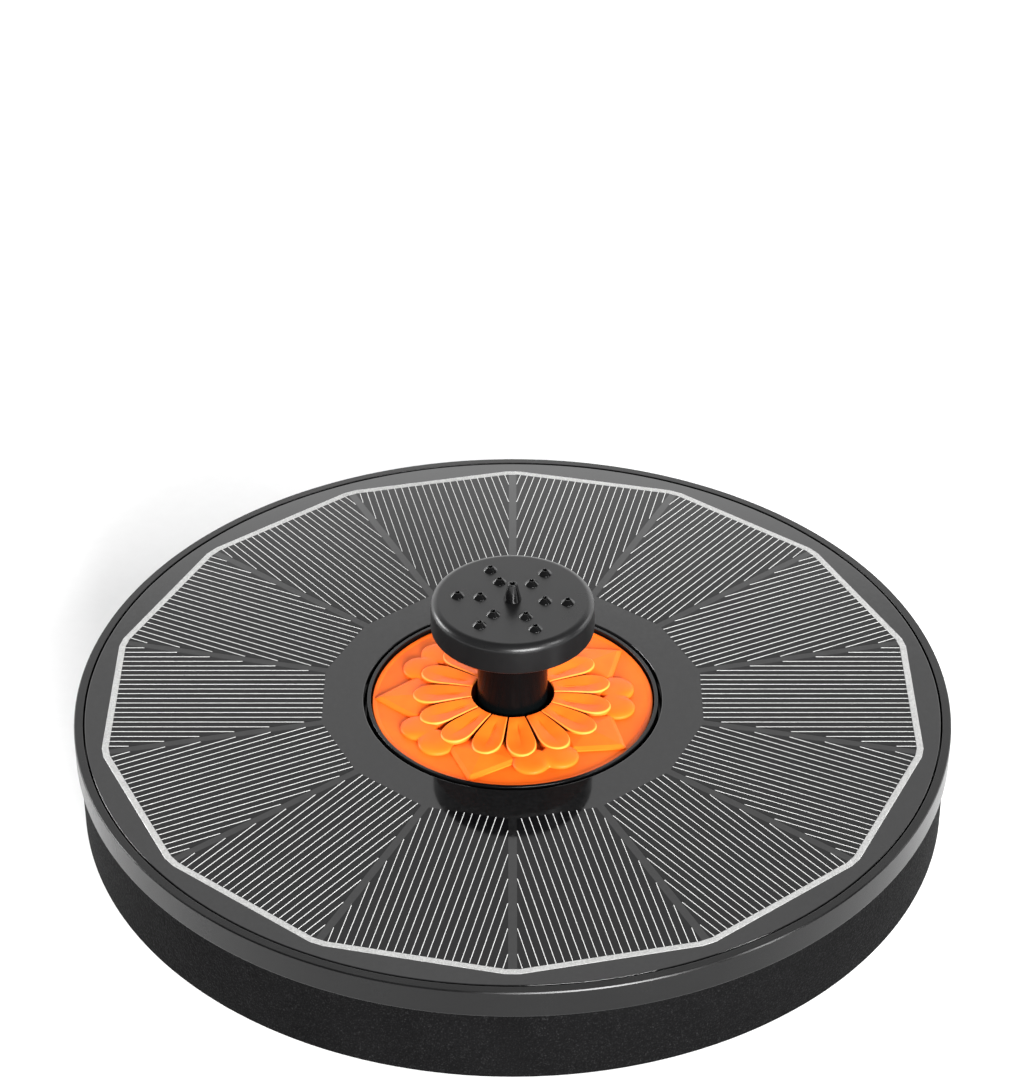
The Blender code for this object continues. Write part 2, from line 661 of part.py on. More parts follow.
def make_riser(empty, material):
    """The tube that slips over the spigot, with a neck for the spray head."""
    shoulder = CAP_UNDER - GAP
    neck_top = CAP_UNDER + 2.5 * MM
    profile = [
        (RISER_BORE, TRAY_BOTTOM + TRAY_FLOOR + GAP),
        (RISER_RADIUS, TRAY_BOTTOM + TRAY_FLOOR + GAP),
        (RISER_RADIUS, shoulder - 0.9 * MM),
        (RISER_RADIUS - 0.35 * MM, shoulder - 0.6 * MM),
        (RISER_RADIUS - 0.35 * MM, shoulder),
        (NECK_RADIUS, shoulder),
        (NECK_RADIUS, neck_top),
        (NECK_BORE, neck_top),
        (NECK_BORE, SPIGOT_TOP + 2.0 * MM),
        (RISER_BORE, SPIGOT_TOP + 0.6 * MM),
    ]
    turned("riser_tube", profile, SMALL_STEPS, material=material, parent=empty)


def jet_places():
    """Two rings of jets on the same spokes."""
    spokes = [JET_TURN + 2.0 * math.pi * index / JETS_PER_RING for index in range(JETS_PER_RING)]
    return [polar(radius, angle) for radius in JET_RINGS for angle in spokes]


def make_spray_head(empty, material):
    """The hollow spray head, open over the riser's neck, with a raised cone for each jet."""
    ceiling = CAP_TOP - CAP_PLATE
    inside_floor = CAP_UNDER + CAP_FLOOR
    profile = [(CAP_RADIUS, CAP_UNDER)]
    profile += arc(CAP_RADIUS - CAP_ROUND, CAP_TOP - CAP_ROUND, CAP_ROUND, 0.0, math.pi / 2.0, 4)
    profile += [
        (CENTRE_FOOT, CAP_TOP),
        (CENTRE_MOUTH, CAP_TOP + CENTRE_HEIGHT),
        (CENTRE_BORE, CAP_TOP + CENTRE_HEIGHT),
        (CENTRE_BORE, ceiling),
        (CAP_RADIUS - CAP_WALL, ceiling),
        (CAP_RADIUS - CAP_WALL, inside_floor),
        (NECK_RADIUS + GAP, inside_floor),
        (NECK_RADIUS + GAP, CAP_UNDER),
    ]
    head = turned("spray_head", profile, MIDDLE_STEPS, material=material, parent=empty)
    cones = bmesh.new()
    root = CAP_TOP - 0.4 * MM
    mouth = CAP_TOP + JET_HEIGHT
    for spot in jet_places():
        cone = [(0.0, root), (JET_FOOT, root), (JET_FOOT, CAP_TOP), (JET_MOUTH, mouth), (0.0, mouth)]
        add_turned(cones, cone, PIN_STEPS, spot)
    combine(head, place("jet_cone_shape", cones, parent=empty), "UNION")
    low, high = ceiling - 0.5 * MM, mouth + 0.5 * MM
    bores = [(circle(JET_BORE, HOLE_STEPS, spot), low, high) for spot in jet_places()]
    combine(head, prisms("jet_bore_shape", bores, parent=empty), "DIFFERENCE")


def make_basket(empty, plastic, foam):
    """The slotted intake basket that plugs into the housing's skirt, and the filter in it."""
    profile = [
        (0.0, 0.0),
        (HOUSING_RADIUS - 0.8 * MM, 0.0),
        (HOUSING_RADIUS, 0.8 * MM),
        (HOUSING_RADIUS, BASKET_WALL_TOP),
        (30.9 * MM, BASKET_WALL_TOP),
        (30.9 * MM, BASKET_LIP_TOP),
        (29.3 * MM, BASKET_LIP_TOP),
        (29.3 * MM, 9.4 * MM),
        (BASKET_INSIDE, 8.0 * MM),
        (BASKET_INSIDE, BASKET_FLOOR),
        (0.0, BASKET_FLOOR),
    ]
    basket = turned("intake_basket", profile, MIDDLE_STEPS, material=plastic, parent=empty)
    side_slot = rectangle(BASKET_INSIDE - MM, HOUSING_RADIUS + MM, -1.1 * MM, 1.1 * MM)
    floor_slot = rectangle(11.0 * MM, 23.0 * MM, -1.0 * MM, 1.0 * MM)
    slots = [
        (turned_about(side_slot, (0.0, 0.0), 2.0 * math.pi * (index + 0.5) / SIDE_SLOTS), 2.8 * MM, 7.2 * MM)
        for index in range(SIDE_SLOTS)
    ]
    slots += [
        (turned_about(floor_slot, (0.0, 0.0), 2.0 * math.pi * (index + 0.5) / FLOOR_SLOTS), -MM,
         BASKET_FLOOR + 0.5 * MM)
        for index in range(FLOOR_SLOTS)
    ]
    combine(basket, prisms("basket_slot_shape", slots, parent=empty), "DIFFERENCE")
    edge = 0.8 * MM
    low = BASKET_FLOOR + GAP
    high = 7.2 * MM
    radius = BASKET_INSIDE - 0.7 * MM
    turned("filter_sponge", [(0.0, low), (radius - edge, low), (radius, low + edge), (radius, high - edge),
                             (radius - edge, high), (0.0, high)], SMALL_STEPS, material=foam, parent=empty)


def main():
    clear_scene()
    black_plastic = finish("black_plastic", (0.012, 0.012, 0.013), 0.38)
    dark_plastic = finish("dark_plastic", (0.02, 0.02, 0.021), 0.45)
    foam = finish("black_foam", (0.02, 0.02, 0.021), 0.9)
    board = finish("panel_grey", (0.03, 0.03, 0.032), 0.25)
    silicon = finish("silicon", (0.012, 0.012, 0.014), 0.2)
    tinned = finish("tinned_copper", (0.62, 0.62, 0.6), 0.4, 1.0)
    tape = finish("white_tape", (0.6, 0.6, 0.58), 0.9)
    orange = finish("orange_plastic", (1.0, 0.19, 0.035), 0.4)
    rubber = finish("black_rubber", (0.015, 0.015, 0.015), 0.8)
    steel = finish("stainless", (0.6, 0.6, 0.6), 0.3, 1.0)
    iron = finish("core_iron", (0.25, 0.25, 0.26), 0.5, 1.0)
    copper = finish("copper_wire", (0.75, 0.3, 0.12), 0.35, 1.0)
    green = finish("circuit_green", (0.02, 0.16, 0.06), 0.45)
    resin = finish("potting_resin", (0.03, 0.03, 0.03), 0.3)
    ferrite = finish("ferrite", (0.05, 0.05, 0.055), 0.6)
    white_plastic = finish("white_plastic", (0.75, 0.75, 0.72), 0.4)
    red = finish("red_lead", (0.6, 0.02, 0.02), 0.5)

    rotor = axis_empty("rotor_axis", (ROTOR_X, 0.0, 0.0))
    riser = axis_empty("riser_axis", (0.0, 0.0, 0.0))
    head = axis_empty("spray_head_axis", (0.0, 0.0, 0.0), riser)
    basket = axis_empty("basket_axis", (0.0, 0.0, 0.0))

    make_tray(black_plastic)
    make_panel(board, silicon, tinned, tape)
    make_float(foam)
    make_flower(orange)
    make_housing(dark_plastic)
    make_seal(rubber)
    make_screws(steel)
    make_chamber_cover(dark_plastic)
    make_stator(iron, copper)
    make_electronics(green, ferrite, resin)
    make_leads(red, rubber)
    make_rotor(rotor, steel, ferrite, white_plastic, rubber)
    make_riser(riser, black_plastic)
    make_spray_head(head, black_plastic)
    make_basket(basket, black_plastic, foam)


if __name__ == "__main__":
    main()
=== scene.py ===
"""Looks of a floating solar fountain: tray, panel, flower insert, float, spray head and pump.

Metres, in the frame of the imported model, +Z up. Every finished piece has its place in its mesh.
"""

import json
import logging
import math
from dataclasses import dataclass
from enum import Enum

import bmesh
import bpy
import numpy as np
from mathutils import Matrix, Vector


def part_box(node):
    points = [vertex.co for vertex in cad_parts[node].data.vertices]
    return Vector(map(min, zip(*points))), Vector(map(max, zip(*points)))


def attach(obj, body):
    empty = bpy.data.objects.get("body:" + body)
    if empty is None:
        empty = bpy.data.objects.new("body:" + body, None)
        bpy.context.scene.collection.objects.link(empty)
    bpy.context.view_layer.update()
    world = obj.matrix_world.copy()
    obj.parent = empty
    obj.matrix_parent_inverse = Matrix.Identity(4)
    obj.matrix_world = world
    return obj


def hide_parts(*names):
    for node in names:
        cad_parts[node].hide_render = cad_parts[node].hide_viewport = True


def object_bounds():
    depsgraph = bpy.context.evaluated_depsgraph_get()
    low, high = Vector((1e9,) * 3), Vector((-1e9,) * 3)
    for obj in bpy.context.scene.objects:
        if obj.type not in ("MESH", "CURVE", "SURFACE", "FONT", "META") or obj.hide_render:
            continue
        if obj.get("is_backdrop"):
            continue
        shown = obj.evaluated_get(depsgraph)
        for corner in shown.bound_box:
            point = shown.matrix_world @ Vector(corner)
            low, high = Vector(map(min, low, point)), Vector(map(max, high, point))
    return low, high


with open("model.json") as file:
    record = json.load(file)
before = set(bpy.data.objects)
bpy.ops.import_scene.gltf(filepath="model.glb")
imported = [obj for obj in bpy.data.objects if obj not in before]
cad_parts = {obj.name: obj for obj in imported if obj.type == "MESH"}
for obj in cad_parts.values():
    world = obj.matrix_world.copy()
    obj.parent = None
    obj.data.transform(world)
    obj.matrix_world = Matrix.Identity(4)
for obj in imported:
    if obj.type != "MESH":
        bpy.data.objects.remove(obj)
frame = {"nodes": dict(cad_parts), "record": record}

LOG = logging.getLogger("solar_fountain")
MM = 0.001
NO_TRIANGLES = np.empty((0, 3), dtype=int)
CAD_LOW, CAD_HIGH = (np.array(corner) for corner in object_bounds())

Colour = tuple[float, float, float]


class Body(Enum):
    """The rigid bodies that pieces ride on."""

    BASE = "base"
    RISER = "riser"
    SPRAY_HEAD = "spray_head"
    INTAKE = "intake"


class Ends(Enum):
    """How a turned profile's two ends meet."""

    LOOP = "loop"
    ON_AXIS = "on_axis"


# ---------------------------------------------------------------------------------------------
# Surfaces
# ---------------------------------------------------------------------------------------------


def unit(vectors: np.ndarray) -> np.ndarray:
    """Each vector over its own length."""
    return vectors / np.linalg.norm(vectors, axis=-1, keepdims=True)


def node_box(node: str) -> tuple[np.ndarray, np.ndarray]:
    """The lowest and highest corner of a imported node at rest."""
    low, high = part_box(node)
    return np.array(low), np.array(high)


def rounded(corners: list[tuple[float, float, float]], steps: int = 7) -> np.ndarray:
    """An outline with rounded corners.

    Each corner is swapped for the arc of its radius that touches both of its sides: the arc's
    centre lies on the corner's bisector at radius over the sine of half the corner's angle, and
    its points turn evenly from one side's foot to the other's. A point just past each foot keeps
    smooth shading off the flat that follows.

    Args:
        corners: (across, up, radius) for each corner, in order.
        steps: Points on each arc.

    Returns:
        The outline's points, shape (count, 2), with no point repeated.
    """
    table = np.array(corners, dtype=float)
    points, radii = table[:, :2], table[:, 2:3]
    back, ahead = np.roll(points, 1, axis=0) - points, np.roll(points, -1, axis=0) - points
    before, after = unit(back), unit(ahead)
    half = 0.5 * np.arccos(np.clip((before * after).sum(1, keepdims=True), -1.0, 1.0))
    centre = points + unit(before + after) * radii / np.sin(half)
    reach = radii / np.tan(half)
    first, last = points + before * reach - centre, points + after * reach - centre
    sweep = (np.pi - 2.0 * half)[:, None, :]
    share = np.linspace(0.0, 1.0, steps)[None, :, None]
    arc = first[:, None, :] * np.sin((1.0 - share) * sweep) + last[:, None, :] * np.sin(share * sweep)
    arc = centre[:, None, :] + arc / np.sin(sweep)
    spare = np.linalg.norm(ahead, axis=1, keepdims=True) - reach - np.roll(reach, -1, axis=0)
    past = np.clip(0.3 * spare, 0.0, 0.06 * MM)
    lead_in = points + before * (reach + np.roll(past, 1, axis=0))
    lead_out = points + after * (reach + past)
    line = np.concatenate([lead_in[:, None], arc, lead_out[:, None]], axis=1).reshape(-1, 2)
    apart = np.linalg.norm(line - np.roll(line, 1, axis=0), axis=1) > 1e-7
    return line[apart]


def linked(name: str, mesh: bpy.types.Mesh) -> bpy.types.Object:
    """An object of a mesh, in the scene."""
    obj = bpy.data.objects.new(name, mesh)
    bpy.context.scene.collection.objects.link(obj)
    return obj


def mesh_object(name: str, points: np.ndarray, quads: np.ndarray,
                triangles: np.ndarray) -> bpy.types.Object:
    """A mesh object of whole arrays of points and faces.

    Args:
        name: The object's name.
        points: Shape (count, 3).
        quads: Point numbers, shape (count, 4).
        triangles: Point numbers, shape (count, 3).

    Returns:
        The object, linked to the scene, shaded smooth.
    """
    mesh = bpy.data.meshes.new(name)
    mesh.vertices.add(len(points))
    mesh.vertices.foreach_set("co", points.astype(np.float32).ravel())
    corners = np.concatenate([quads.ravel(), triangles.ravel()]).astype(np.int32)
    starts = np.concatenate([np.arange(len(quads)) * 4, len(quads) * 4 + np.arange(len(triangles)) * 3])
    mesh.loops.add(len(corners))
    mesh.loops.foreach_set("vertex_index", corners)
    mesh.polygons.add(len(starts))
    mesh.polygons.foreach_set("loop_start", starts.astype(np.int32))
    mesh.update(calc_edges=True)
    mesh.validate()
    mesh.shade_smooth()
    return linked(name, mesh)


def grid_faces(rows: int, columns: int, wrap_rows: bool) -> np.ndarray:
    """The quads of a grid whose columns close on themselves, facing out of an anticlockwise profile."""
    row = np.arange(rows if wrap_rows else rows - 1)[:, None]
    column = np.arange(columns)[None, :]
    next_row, next_column = (row + 1) % rows, (column + 1) % columns
    corners = (row * columns + column, row * columns + next_column,
               next_row * columns + next_column, next_row * columns + column)
    return np.stack(corners, axis=-1).reshape(-1, 4)


def turned(name: str, profile: np.ndarray, columns: int, ends: Ends = Ends.LOOP,
           sharp: float = 40.0) -> bpy.types.Object:
    """A profile carried round Z: the point (radius, height) goes to (radius cos a, radius sin a, height).

    Args:
        name: The object's name.
        profile: Points (radius, height), anticlockwise with the radius to the right.
        columns: Steps round the axis.
        ends: Whether the profile is a loop or starts and ends on the axis.
        sharp: Edges that turn by more than this many degrees stay crisp.

    Returns:
        A closed surface.
    """
    angle = np.linspace(0.0, 2.0 * np.pi, columns, endpoint=False)
    body = profile if ends is Ends.LOOP else profile[1:-1]
    ring = np.stack([np.cos(angle), np.sin(angle)], axis=-1)
    flat = body[:, None, 0:1] * ring[None]
    height = np.broadcast_to(body[:, None, 1:2], flat.shape[:2] + (1,))
    points = np.concatenate([flat, height], axis=-1).reshape(-1, 3)
    quads = grid_faces(len(body), columns, ends is Ends.LOOP)
    triangles = NO_TRIANGLES
    if ends is Ends.ON_AXIS:
        low, high = len(points), len(points) + 1
        points = np.vstack([points, [0.0, 0.0, profile[0, 1]], [0.0, 0.0, profile[-1, 1]]])
        here = np.arange(columns)
        after = (here + 1) % columns
        top = (len(body) - 1) * columns
        under = np.stack([np.full(columns, low), after, here], axis=-1)
        over = np.stack([np.full(columns, high), top + here, top + after], axis=-1)
        triangles = np.vstack([under, over])
    obj = mesh_object(name, points, quads, triangles)
    obj.data.set_sharp_from_angle(angle=math.radians(sharp))
    return obj


def prism(name: str, outline: np.ndarray, low: float, high: float) -> bpy.types.Object:
    """An anticlockwise outline raised straight from low to high, with flat ends."""
    count = len(outline)
    points = np.concatenate([np.column_stack([outline, np.full(count, height)]) for height in (low, high)])
    here = np.arange(count)
    after = (here + 1) % count
    sides = np.stack([here, after, after + count, here + count], axis=-1)
    mesh = bpy.data.meshes.new(name)
    faces = sides.tolist() + [here[::-1].tolist(), (here + count).tolist()]
    mesh.from_pydata(points.tolist(), [], faces)
    return linked(name, mesh)


def carved(obj: bpy.types.Object, tools: list[bpy.types.Object], sharp: float) -> bpy.types.Object:
    """Cuts the tools out of a piece for good, and removes them."""
    for tool in tools:
        modifier = obj.modifiers.new(tool.name, "BOOLEAN")
        modifier.operation = "DIFFERENCE"
        modifier.object = tool
    bpy.context.view_layer.update()
    result = bpy.data.meshes.new_from_object(obj.evaluated_get(bpy.context.evaluated_depsgraph_get()))
    obj.modifiers.clear()
    obj.data = result
    for tool in tools:
        bpy.data.objects.remove(tool, do_unlink=True)
    obj.data.shade_smooth()
    obj.data.set_sharp_from_angle(angle=math.radians(sharp))
    return obj


def joined(name: str, parts: list[bpy.types.Object]) -> bpy.types.Object:
    """One object of several meshes that carry no modifiers."""
    points, faces, start = [], [], 0
    for part in parts:
        points.append(read_points(part))
        faces += [[start + index for index in polygon.vertices] for polygon in part.data.polygons]
        start += len(part.data.vertices)
        bpy.data.objects.remove(part, do_unlink=True)
    mesh = bpy.data.meshes.new(name)
    mesh.from_pydata(np.concatenate(points).tolist(), [], faces)
    return linked(name, mesh)


def read_points(obj: bpy.types.Object) -> np.ndarray:
    """A piece's points, shape (count, 3)."""
    points = np.empty(len(obj.data.vertices) * 3, dtype=np.float32)
    obj.data.vertices.foreach_get("co", points)
    return points.reshape(-1, 3).astype(float)


def write_points(obj: bpy.types.Object, points: np.ndarray) -> None:
    """Puts a piece's points back."""
    obj.data.vertices.foreach_set("co", points.astype(np.float32).ravel())
    obj.data.update()


def outward(obj: bpy.types.Object) -> None:
    """Turns every face of a piece's closed shells outward."""
    work = bmesh.new()
    work.from_mesh(obj.data)
    bmesh.ops.recalc_face_normals(work, faces=work.faces)
    work.to_mesh(obj.data)
    work.free()


def set_attribute(obj: bpy.types.Object, name: str, values: np.ndarray) -> None:
    """Writes one number for each point, for a material to read."""
    attribute = obj.data.attributes.new(name, "FLOAT", "POINT")
    attribute.data.foreach_set("value", values.astype(np.float32).ravel())


def ease(value: np.ndarray, low: float, high: float) -> np.ndarray:
    """Rises smoothly from 0 at low to 1 at high."""
    share = np.clip((value - low) / (high - low), 0.0, 1.0)
    return share * share * (3.0 - 2.0 * share)


# ---------------------------------------------------------------------------------------------
# Finishes
# ---------------------------------------------------------------------------------------------


def tint(colour: Colour, factor: float) -> Colour:
    """A colour made lighter or darker by a factor."""
    return tuple(min(1.0, factor * part) for part in colour)


class Shader:
    """A material's node tree, with short ways to add nodes."""

    def __init__(self, name: str) -> None:
        """Starts a material with one Principled shader."""
        self.material = bpy.data.materials.new(name)
        self.material.use_nodes = True
        self.tree = self.material.node_tree
        self.surface = self.tree.nodes["Principled BSDF"]
        self.coordinates = self.add("ShaderNodeTexCoord").outputs["Object"]

    def add(self, kind: str, **settings: object) -> bpy.types.Node:
        """A node with settings for its properties and its inputs.

        Args:
            kind: Blender's name for the node's type.
            settings: A property's name and value, or in_NAME for an input, where _ stands for a space.

        Returns:
            The node.
        """
        node = self.tree.nodes.new(kind)
        for key, value in settings.items():
            if key.startswith("in_"):
                self.feed(node.inputs[key[3:].replace("_", " ")], value)
            else:
                setattr(node, key, value)
        return node

    def feed(self, socket: bpy.types.NodeSocket, value: object) -> None:
        """Links a socket to another, or sets its value."""
        if isinstance(value, bpy.types.NodeSocket):
            self.tree.links.new(value, socket)
        else:
            socket.default_value = value

    def set(self, **inputs: object) -> None:
        """Sets or links the surface's inputs."""
        for key, value in inputs.items():
            self.feed(self.surface.inputs[key.replace("_", " ")], value)

    def math(self, operation: str, *values: object) -> bpy.types.NodeSocket:
        """One arithmetic step."""
        node = self.add("ShaderNodeMath", operation=operation)
        for socket, value in zip(node.inputs, values):
            self.feed(socket, value)
        return node.outputs[0]

    def noise(self, scale: float, detail: float = 2.0, roughness: float = 0.5,
              vector: bpy.types.NodeSocket | None = None) -> bpy.types.NodeSocket:
        """Cloudy noise with this many clouds to the metre."""
        return self.add("ShaderNodeTexNoise", in_Vector=vector or self.coordinates, in_Scale=scale,
                        in_Detail=detail, in_Roughness=roughness).outputs["Fac"]

    def cells(self, scale: float, feature: str = "F1", randomness: float = 1.0) -> bpy.types.NodeSocket:
        """The distance to the nearest of a scatter of points."""
        return self.add("ShaderNodeTexVoronoi", feature=feature, in_Vector=self.coordinates,
                        in_Scale=scale, in_Randomness=randomness).outputs["Distance"]

    def range(self, value: bpy.types.NodeSocket, low: float, high: float, to_low: float,
              to_high: float) -> bpy.types.NodeSocket:
        """Maps one range to another, clamped."""
        return self.add("ShaderNodeMapRange", in_Value=value, in_From_Min=low, in_From_Max=high,
                        in_To_Min=to_low, in_To_Max=to_high).outputs["Result"]

    def blend(self, share: object, first: object, second: object) -> bpy.types.NodeSocket:
        """A colour between two colours."""
        node = self.add("ShaderNodeMix", data_type="RGBA")
        for number, value in zip((0, 6, 7), (share, first, second)):
            self.feed(node.inputs[number], (*value, 1.0) if isinstance(value, tuple) else value)
        return node.outputs[2]

    def shades(self, value: bpy.types.NodeSocket, low: float, high: float, first: object,
               second: object) -> bpy.types.NodeSocket:
        """A colour that goes from one to another as a value goes from low to high."""
        return self.blend(self.range(value, low, high, 0.0, 1.0), first, second)

    def relief(self, height: bpy.types.NodeSocket, distance: float, strength: float = 1.0,
               under: bpy.types.NodeSocket | None = None) -> bpy.types.NodeSocket:
        """Fine relief of this height in metres, on top of another if one is given."""
        node = self.add("ShaderNodeBump", in_Height=height, in_Distance=distance, in_Strength=strength)
        if under is not None:
            self.feed(node.inputs["Normal"], under)
        return node.outputs["Normal"]

    def attribute(self, name: str) -> bpy.types.NodeSocket:
        """A number that the piece holds for each point."""
        return self.add("ShaderNodeAttribute", attribute_name=name).outputs["Fac"]


@dataclass(frozen=True)
class MouldedPlastic:
    """Moulded plastic with a fine spark-eroded grain, faint clouding in its gloss and soft flow marks."""

    name: str
    colour: Colour
    roughness: float = 0.34
    grain: float = 0.004 * MM
    grain_scale: float = 5200.0
    specular: float = 0.3

    def make(self) -> bpy.types.Material:
        """The material."""
        shader = Shader(self.name)
        cloud = shader.noise(60.0, 4.0, 0.6)
        fine = shader.noise(self.grain_scale, 2.0, 0.6)
        darker = tint(self.colour, 0.82)
        lighter = tint(self.colour, 1.2)
        shader.set(
            Base_Color=shader.shades(cloud, 0.3, 0.7, darker, lighter),
            Roughness=shader.range(cloud, 0.3, 0.7, self.roughness - 0.04, self.roughness + 0.05),
            Normal=shader.relief(fine, self.grain),
            Specular_IOR_Level=self.specular,
        )
        return shader.material


@dataclass(frozen=True)
class ClosedCellFoam:
    """Black foam skin: small round cells pressed flat, with pale dust in a few of them."""

    name: str
    colour: Colour
    cell_scale: float = 2300.0
    depth: float = 0.09 * MM
    openness: float = 0.0
    specular: float = 0.03

    def make(self) -> bpy.types.Material:
        """The material."""
        shader = Shader(self.name)
        cell = shader.cells(self.cell_scale)
        wide = shader.cells(self.cell_scale * 0.45)
        dust = shader.range(shader.noise(self.cell_scale * 1.7, 2.0, 0.7), 0.56, 0.72, 0.0, 1.0)
        cloud = shader.noise(90.0, 3.0, 0.6)
        base = shader.shades(cloud, 0.3, 0.7, tint(self.colour, 0.8), tint(self.colour, 1.25))
        pale = tuple(4.0 * part + 0.012 for part in self.colour)
        shallow = shader.relief(shader.math("MULTIPLY", cell, -1.0), self.depth, 0.9)
        shader.set(
            Base_Color=shader.blend(shader.math("MULTIPLY", dust, 0.8), base, pale),
            Roughness=shader.range(cell, 0.0, 0.6, 0.5, 0.75),
            Specular_IOR_Level=self.specular,
            Normal=shader.relief(wide, self.depth * (0.7 + 3.0 * self.openness), 0.7, shallow),
        )
        return shader.material


@dataclass(frozen=True)
class ResinOverBoard:
    """Dark laminated board under clear resin: a deep gloss with a slow ripple and specks in the resin."""

    name: str
    colour: Colour
    roughness: float = 0.05
    specular: float = 0.5
    mottle: float = 0.25

    def make(self) -> bpy.types.Material:
        """The material."""
        shader = Shader(self.name)
        mottle = shader.noise(1500.0, 3.0, 0.65)
        speck = shader.range(shader.cells(900.0), 0.0, 0.06, 1.0, 0.0)
        base = shader.shades(mottle, 0.35, 0.65, tint(self.colour, 1.0 - self.mottle),
                             tint(self.colour, 1.0 + self.mottle))
        ripple = shader.relief(shader.noise(38.0, 1.0, 0.4), 0.03 * MM, 0.5)
        shader.set(
            Base_Color=shader.blend(shader.math("MULTIPLY", speck, 0.5), base, tint(self.colour, 4.0)),
            Roughness=shader.range(mottle, 0.3, 0.7, self.roughness, self.roughness + 0.06),
            Specular_IOR_Level=self.specular,
            Normal=ripple,
        )
        return shader.material


@dataclass(frozen=True)
class PrintedSilver:
    """Fired silver print: pale, a little grainy, under the same clear resin."""

    name: str = "printed_silver"
    colour: Colour = (0.62, 0.62, 0.61)

    def make(self) -> bpy.types.Material:
        """The material."""
        shader = Shader(self.name)
        grain = shader.noise(4200.0, 2.0, 0.6)
        shader.set(
            Base_Color=shader.shades(grain, 0.35, 0.65, tint(self.colour, 0.78), self.colour),
            Roughness=0.22,
            Normal=shader.relief(grain, 0.01 * MM, 0.6),
        )
        return shader.material


@dataclass(frozen=True)
class TinnedRibbon:
    """Tinned copper ribbon: crystals of tin in patches, some bright and some dull, and small pits."""

    name: str = "tinned_ribbon"
    colour: Colour = (0.36, 0.36, 0.355)

    def make(self) -> bpy.types.Material:
        """The material."""
        shader = Shader(self.name)
        patch = shader.add("ShaderNodeTexVoronoi", in_Vector=shader.coordinates, in_Scale=7000.0)
        tone = shader.add("ShaderNodeSeparateColor", in_Color=patch.outputs["Color"]).outputs["Red"]
        wear = shader.noise(2200.0, 4.0, 0.7)
        tone = shader.math("ADD", shader.math("MULTIPLY", tone, 0.6), shader.math("MULTIPLY", wear, 0.5))
        shader.set(
            Base_Color=shader.shades(tone, 0.3, 0.85, tint(self.colour, 0.72), tint(self.colour, 1.2)),
            Metallic=0.3,
            Roughness=shader.range(tone, 0.2, 0.9, 0.5, 0.28),
            Normal=shader.relief(tone, 0.03 * MM, 0.7),
        )
        return shader.material


@dataclass(frozen=True)
class FlowerEnamel:
    """Orange moulding, satin with a soft glow, with painted shade darkening its seams and a painted
    highlight paling its rounded edges.
    """

    name: str = "orange_flower"
    colour: Colour = (0.84, 0.118, 0.008)
    # pale is the painted highlight's colour on rounded edges; deep is the painted shade's colour in the
    # seams.
    pale: Colour = (1.0, 0.3, 0.05)
    deep: Colour = (0.02, 0.002, 0.0015)

    def make(self) -> bpy.types.Material:
        """The material."""
        shader = Shader(self.name)
        cloud = shader.noise(170.0, 3.0, 0.55)
        warm = tuple(part * scale for part, scale in zip(self.colour, (1.0, 1.3, 1.3)))
        base = shader.blend(shader.range(cloud, 0.35, 0.65, 0.0, 0.6), self.colour, warm)
        # Painted highlight: the rounded rims of the raised shapes turn pale.
        base = shader.blend(shader.attribute("edge"), base, self.pale)
        # Painted shade: the seams darken almost to black.
        base = shader.blend(shader.attribute("seam_shade"), base, self.deep)
        shader.set(
            Base_Color=base,
            Roughness=shader.range(cloud, 0.3, 0.7, 0.4, 0.5),
            Normal=shader.relief(shader.noise(4200.0, 2.0, 0.6), 0.004 * MM),
            Specular_IOR_Level=0.1,
        )
        return shader.material


@dataclass(frozen=True)
class WorkedMetal:
    """Metal with fine marks along one direction: turned, rolled, stacked or wound."""

    name: str
    colour: Colour
    roughness: float = 0.32
    stretch: tuple[float, float, float] = (1.0, 1.0, 1.0)
    scale: float = 1500.0
    relief: float = 0.01 * MM

    def make(self) -> bpy.types.Material:
        """The material."""
        shader = Shader(self.name)
        along = shader.add("ShaderNodeMapping", in_Vector=shader.coordinates, in_Scale=self.stretch)
        mark = shader.noise(self.scale, 2.0, 0.5, along.outputs["Vector"])
        shader.set(
            Base_Color=shader.shades(mark, 0.3, 0.7, tint(self.colour, 0.7), self.colour),
            Metallic=1.0,
            Roughness=shader.range(mark, 0.3, 0.7, self.roughness - 0.08, self.roughness + 0.1),
            Normal=shader.relief(mark, self.relief, 0.8),
        )
        return shader.material


@dataclass(frozen=True)
class Winding:
    """Enamelled copper wire in close level turns round a pole, with painted shade darkening the grooves
    between turns.
    """

    name: str = "copper_winding"
    colour: Colour = (0.8, 0.3, 0.1)
    wire: float = 0.32 * MM

    def make(self) -> bpy.types.Material:
        """The material. The turns are ridges along Z, one for each wire's width."""
        shader = Shader(self.name)
        height = shader.add("ShaderNodeSeparateXYZ", in_Vector=shader.coordinates).outputs["Z"]
        turn = shader.math("MULTIPLY", height, 2.0 * math.pi / self.wire)
        ridge = shader.math("ABSOLUTE", shader.math("SINE", turn))
        shader.set(
            # Painted shade: the colour falls to a quarter in the grooves between the turns.
            Base_Color=shader.blend(ridge, tint(self.colour, 0.25), self.colour),
            Metallic=1.0,
            Roughness=0.3,
            Normal=shader.relief(ridge, self.wire * 0.4),
        )
        return shader.material


@dataclass(frozen=True)
class SolderMask:
    """Green lacquer over copper tracks that show as slightly raised paler lines."""

    name: str = "circuit_green"
    colour: Colour = (0.015, 0.13, 0.045)

    def make(self) -> bpy.types.Material:
        """The material. The tracks are the edges of a square scatter of cells."""
        shader = Shader(self.name)
        edge = shader.cells(420.0, "DISTANCE_TO_EDGE", 0.7)
        track = shader.range(edge, 0.05, 0.09, 1.0, 0.0)
        shader.set(
            Base_Color=shader.blend(track, self.colour, tint(self.colour, 2.2)),
            Roughness=0.3,
            Normal=shader.relief(track, 0.035 * MM),
        )
        return shader.material


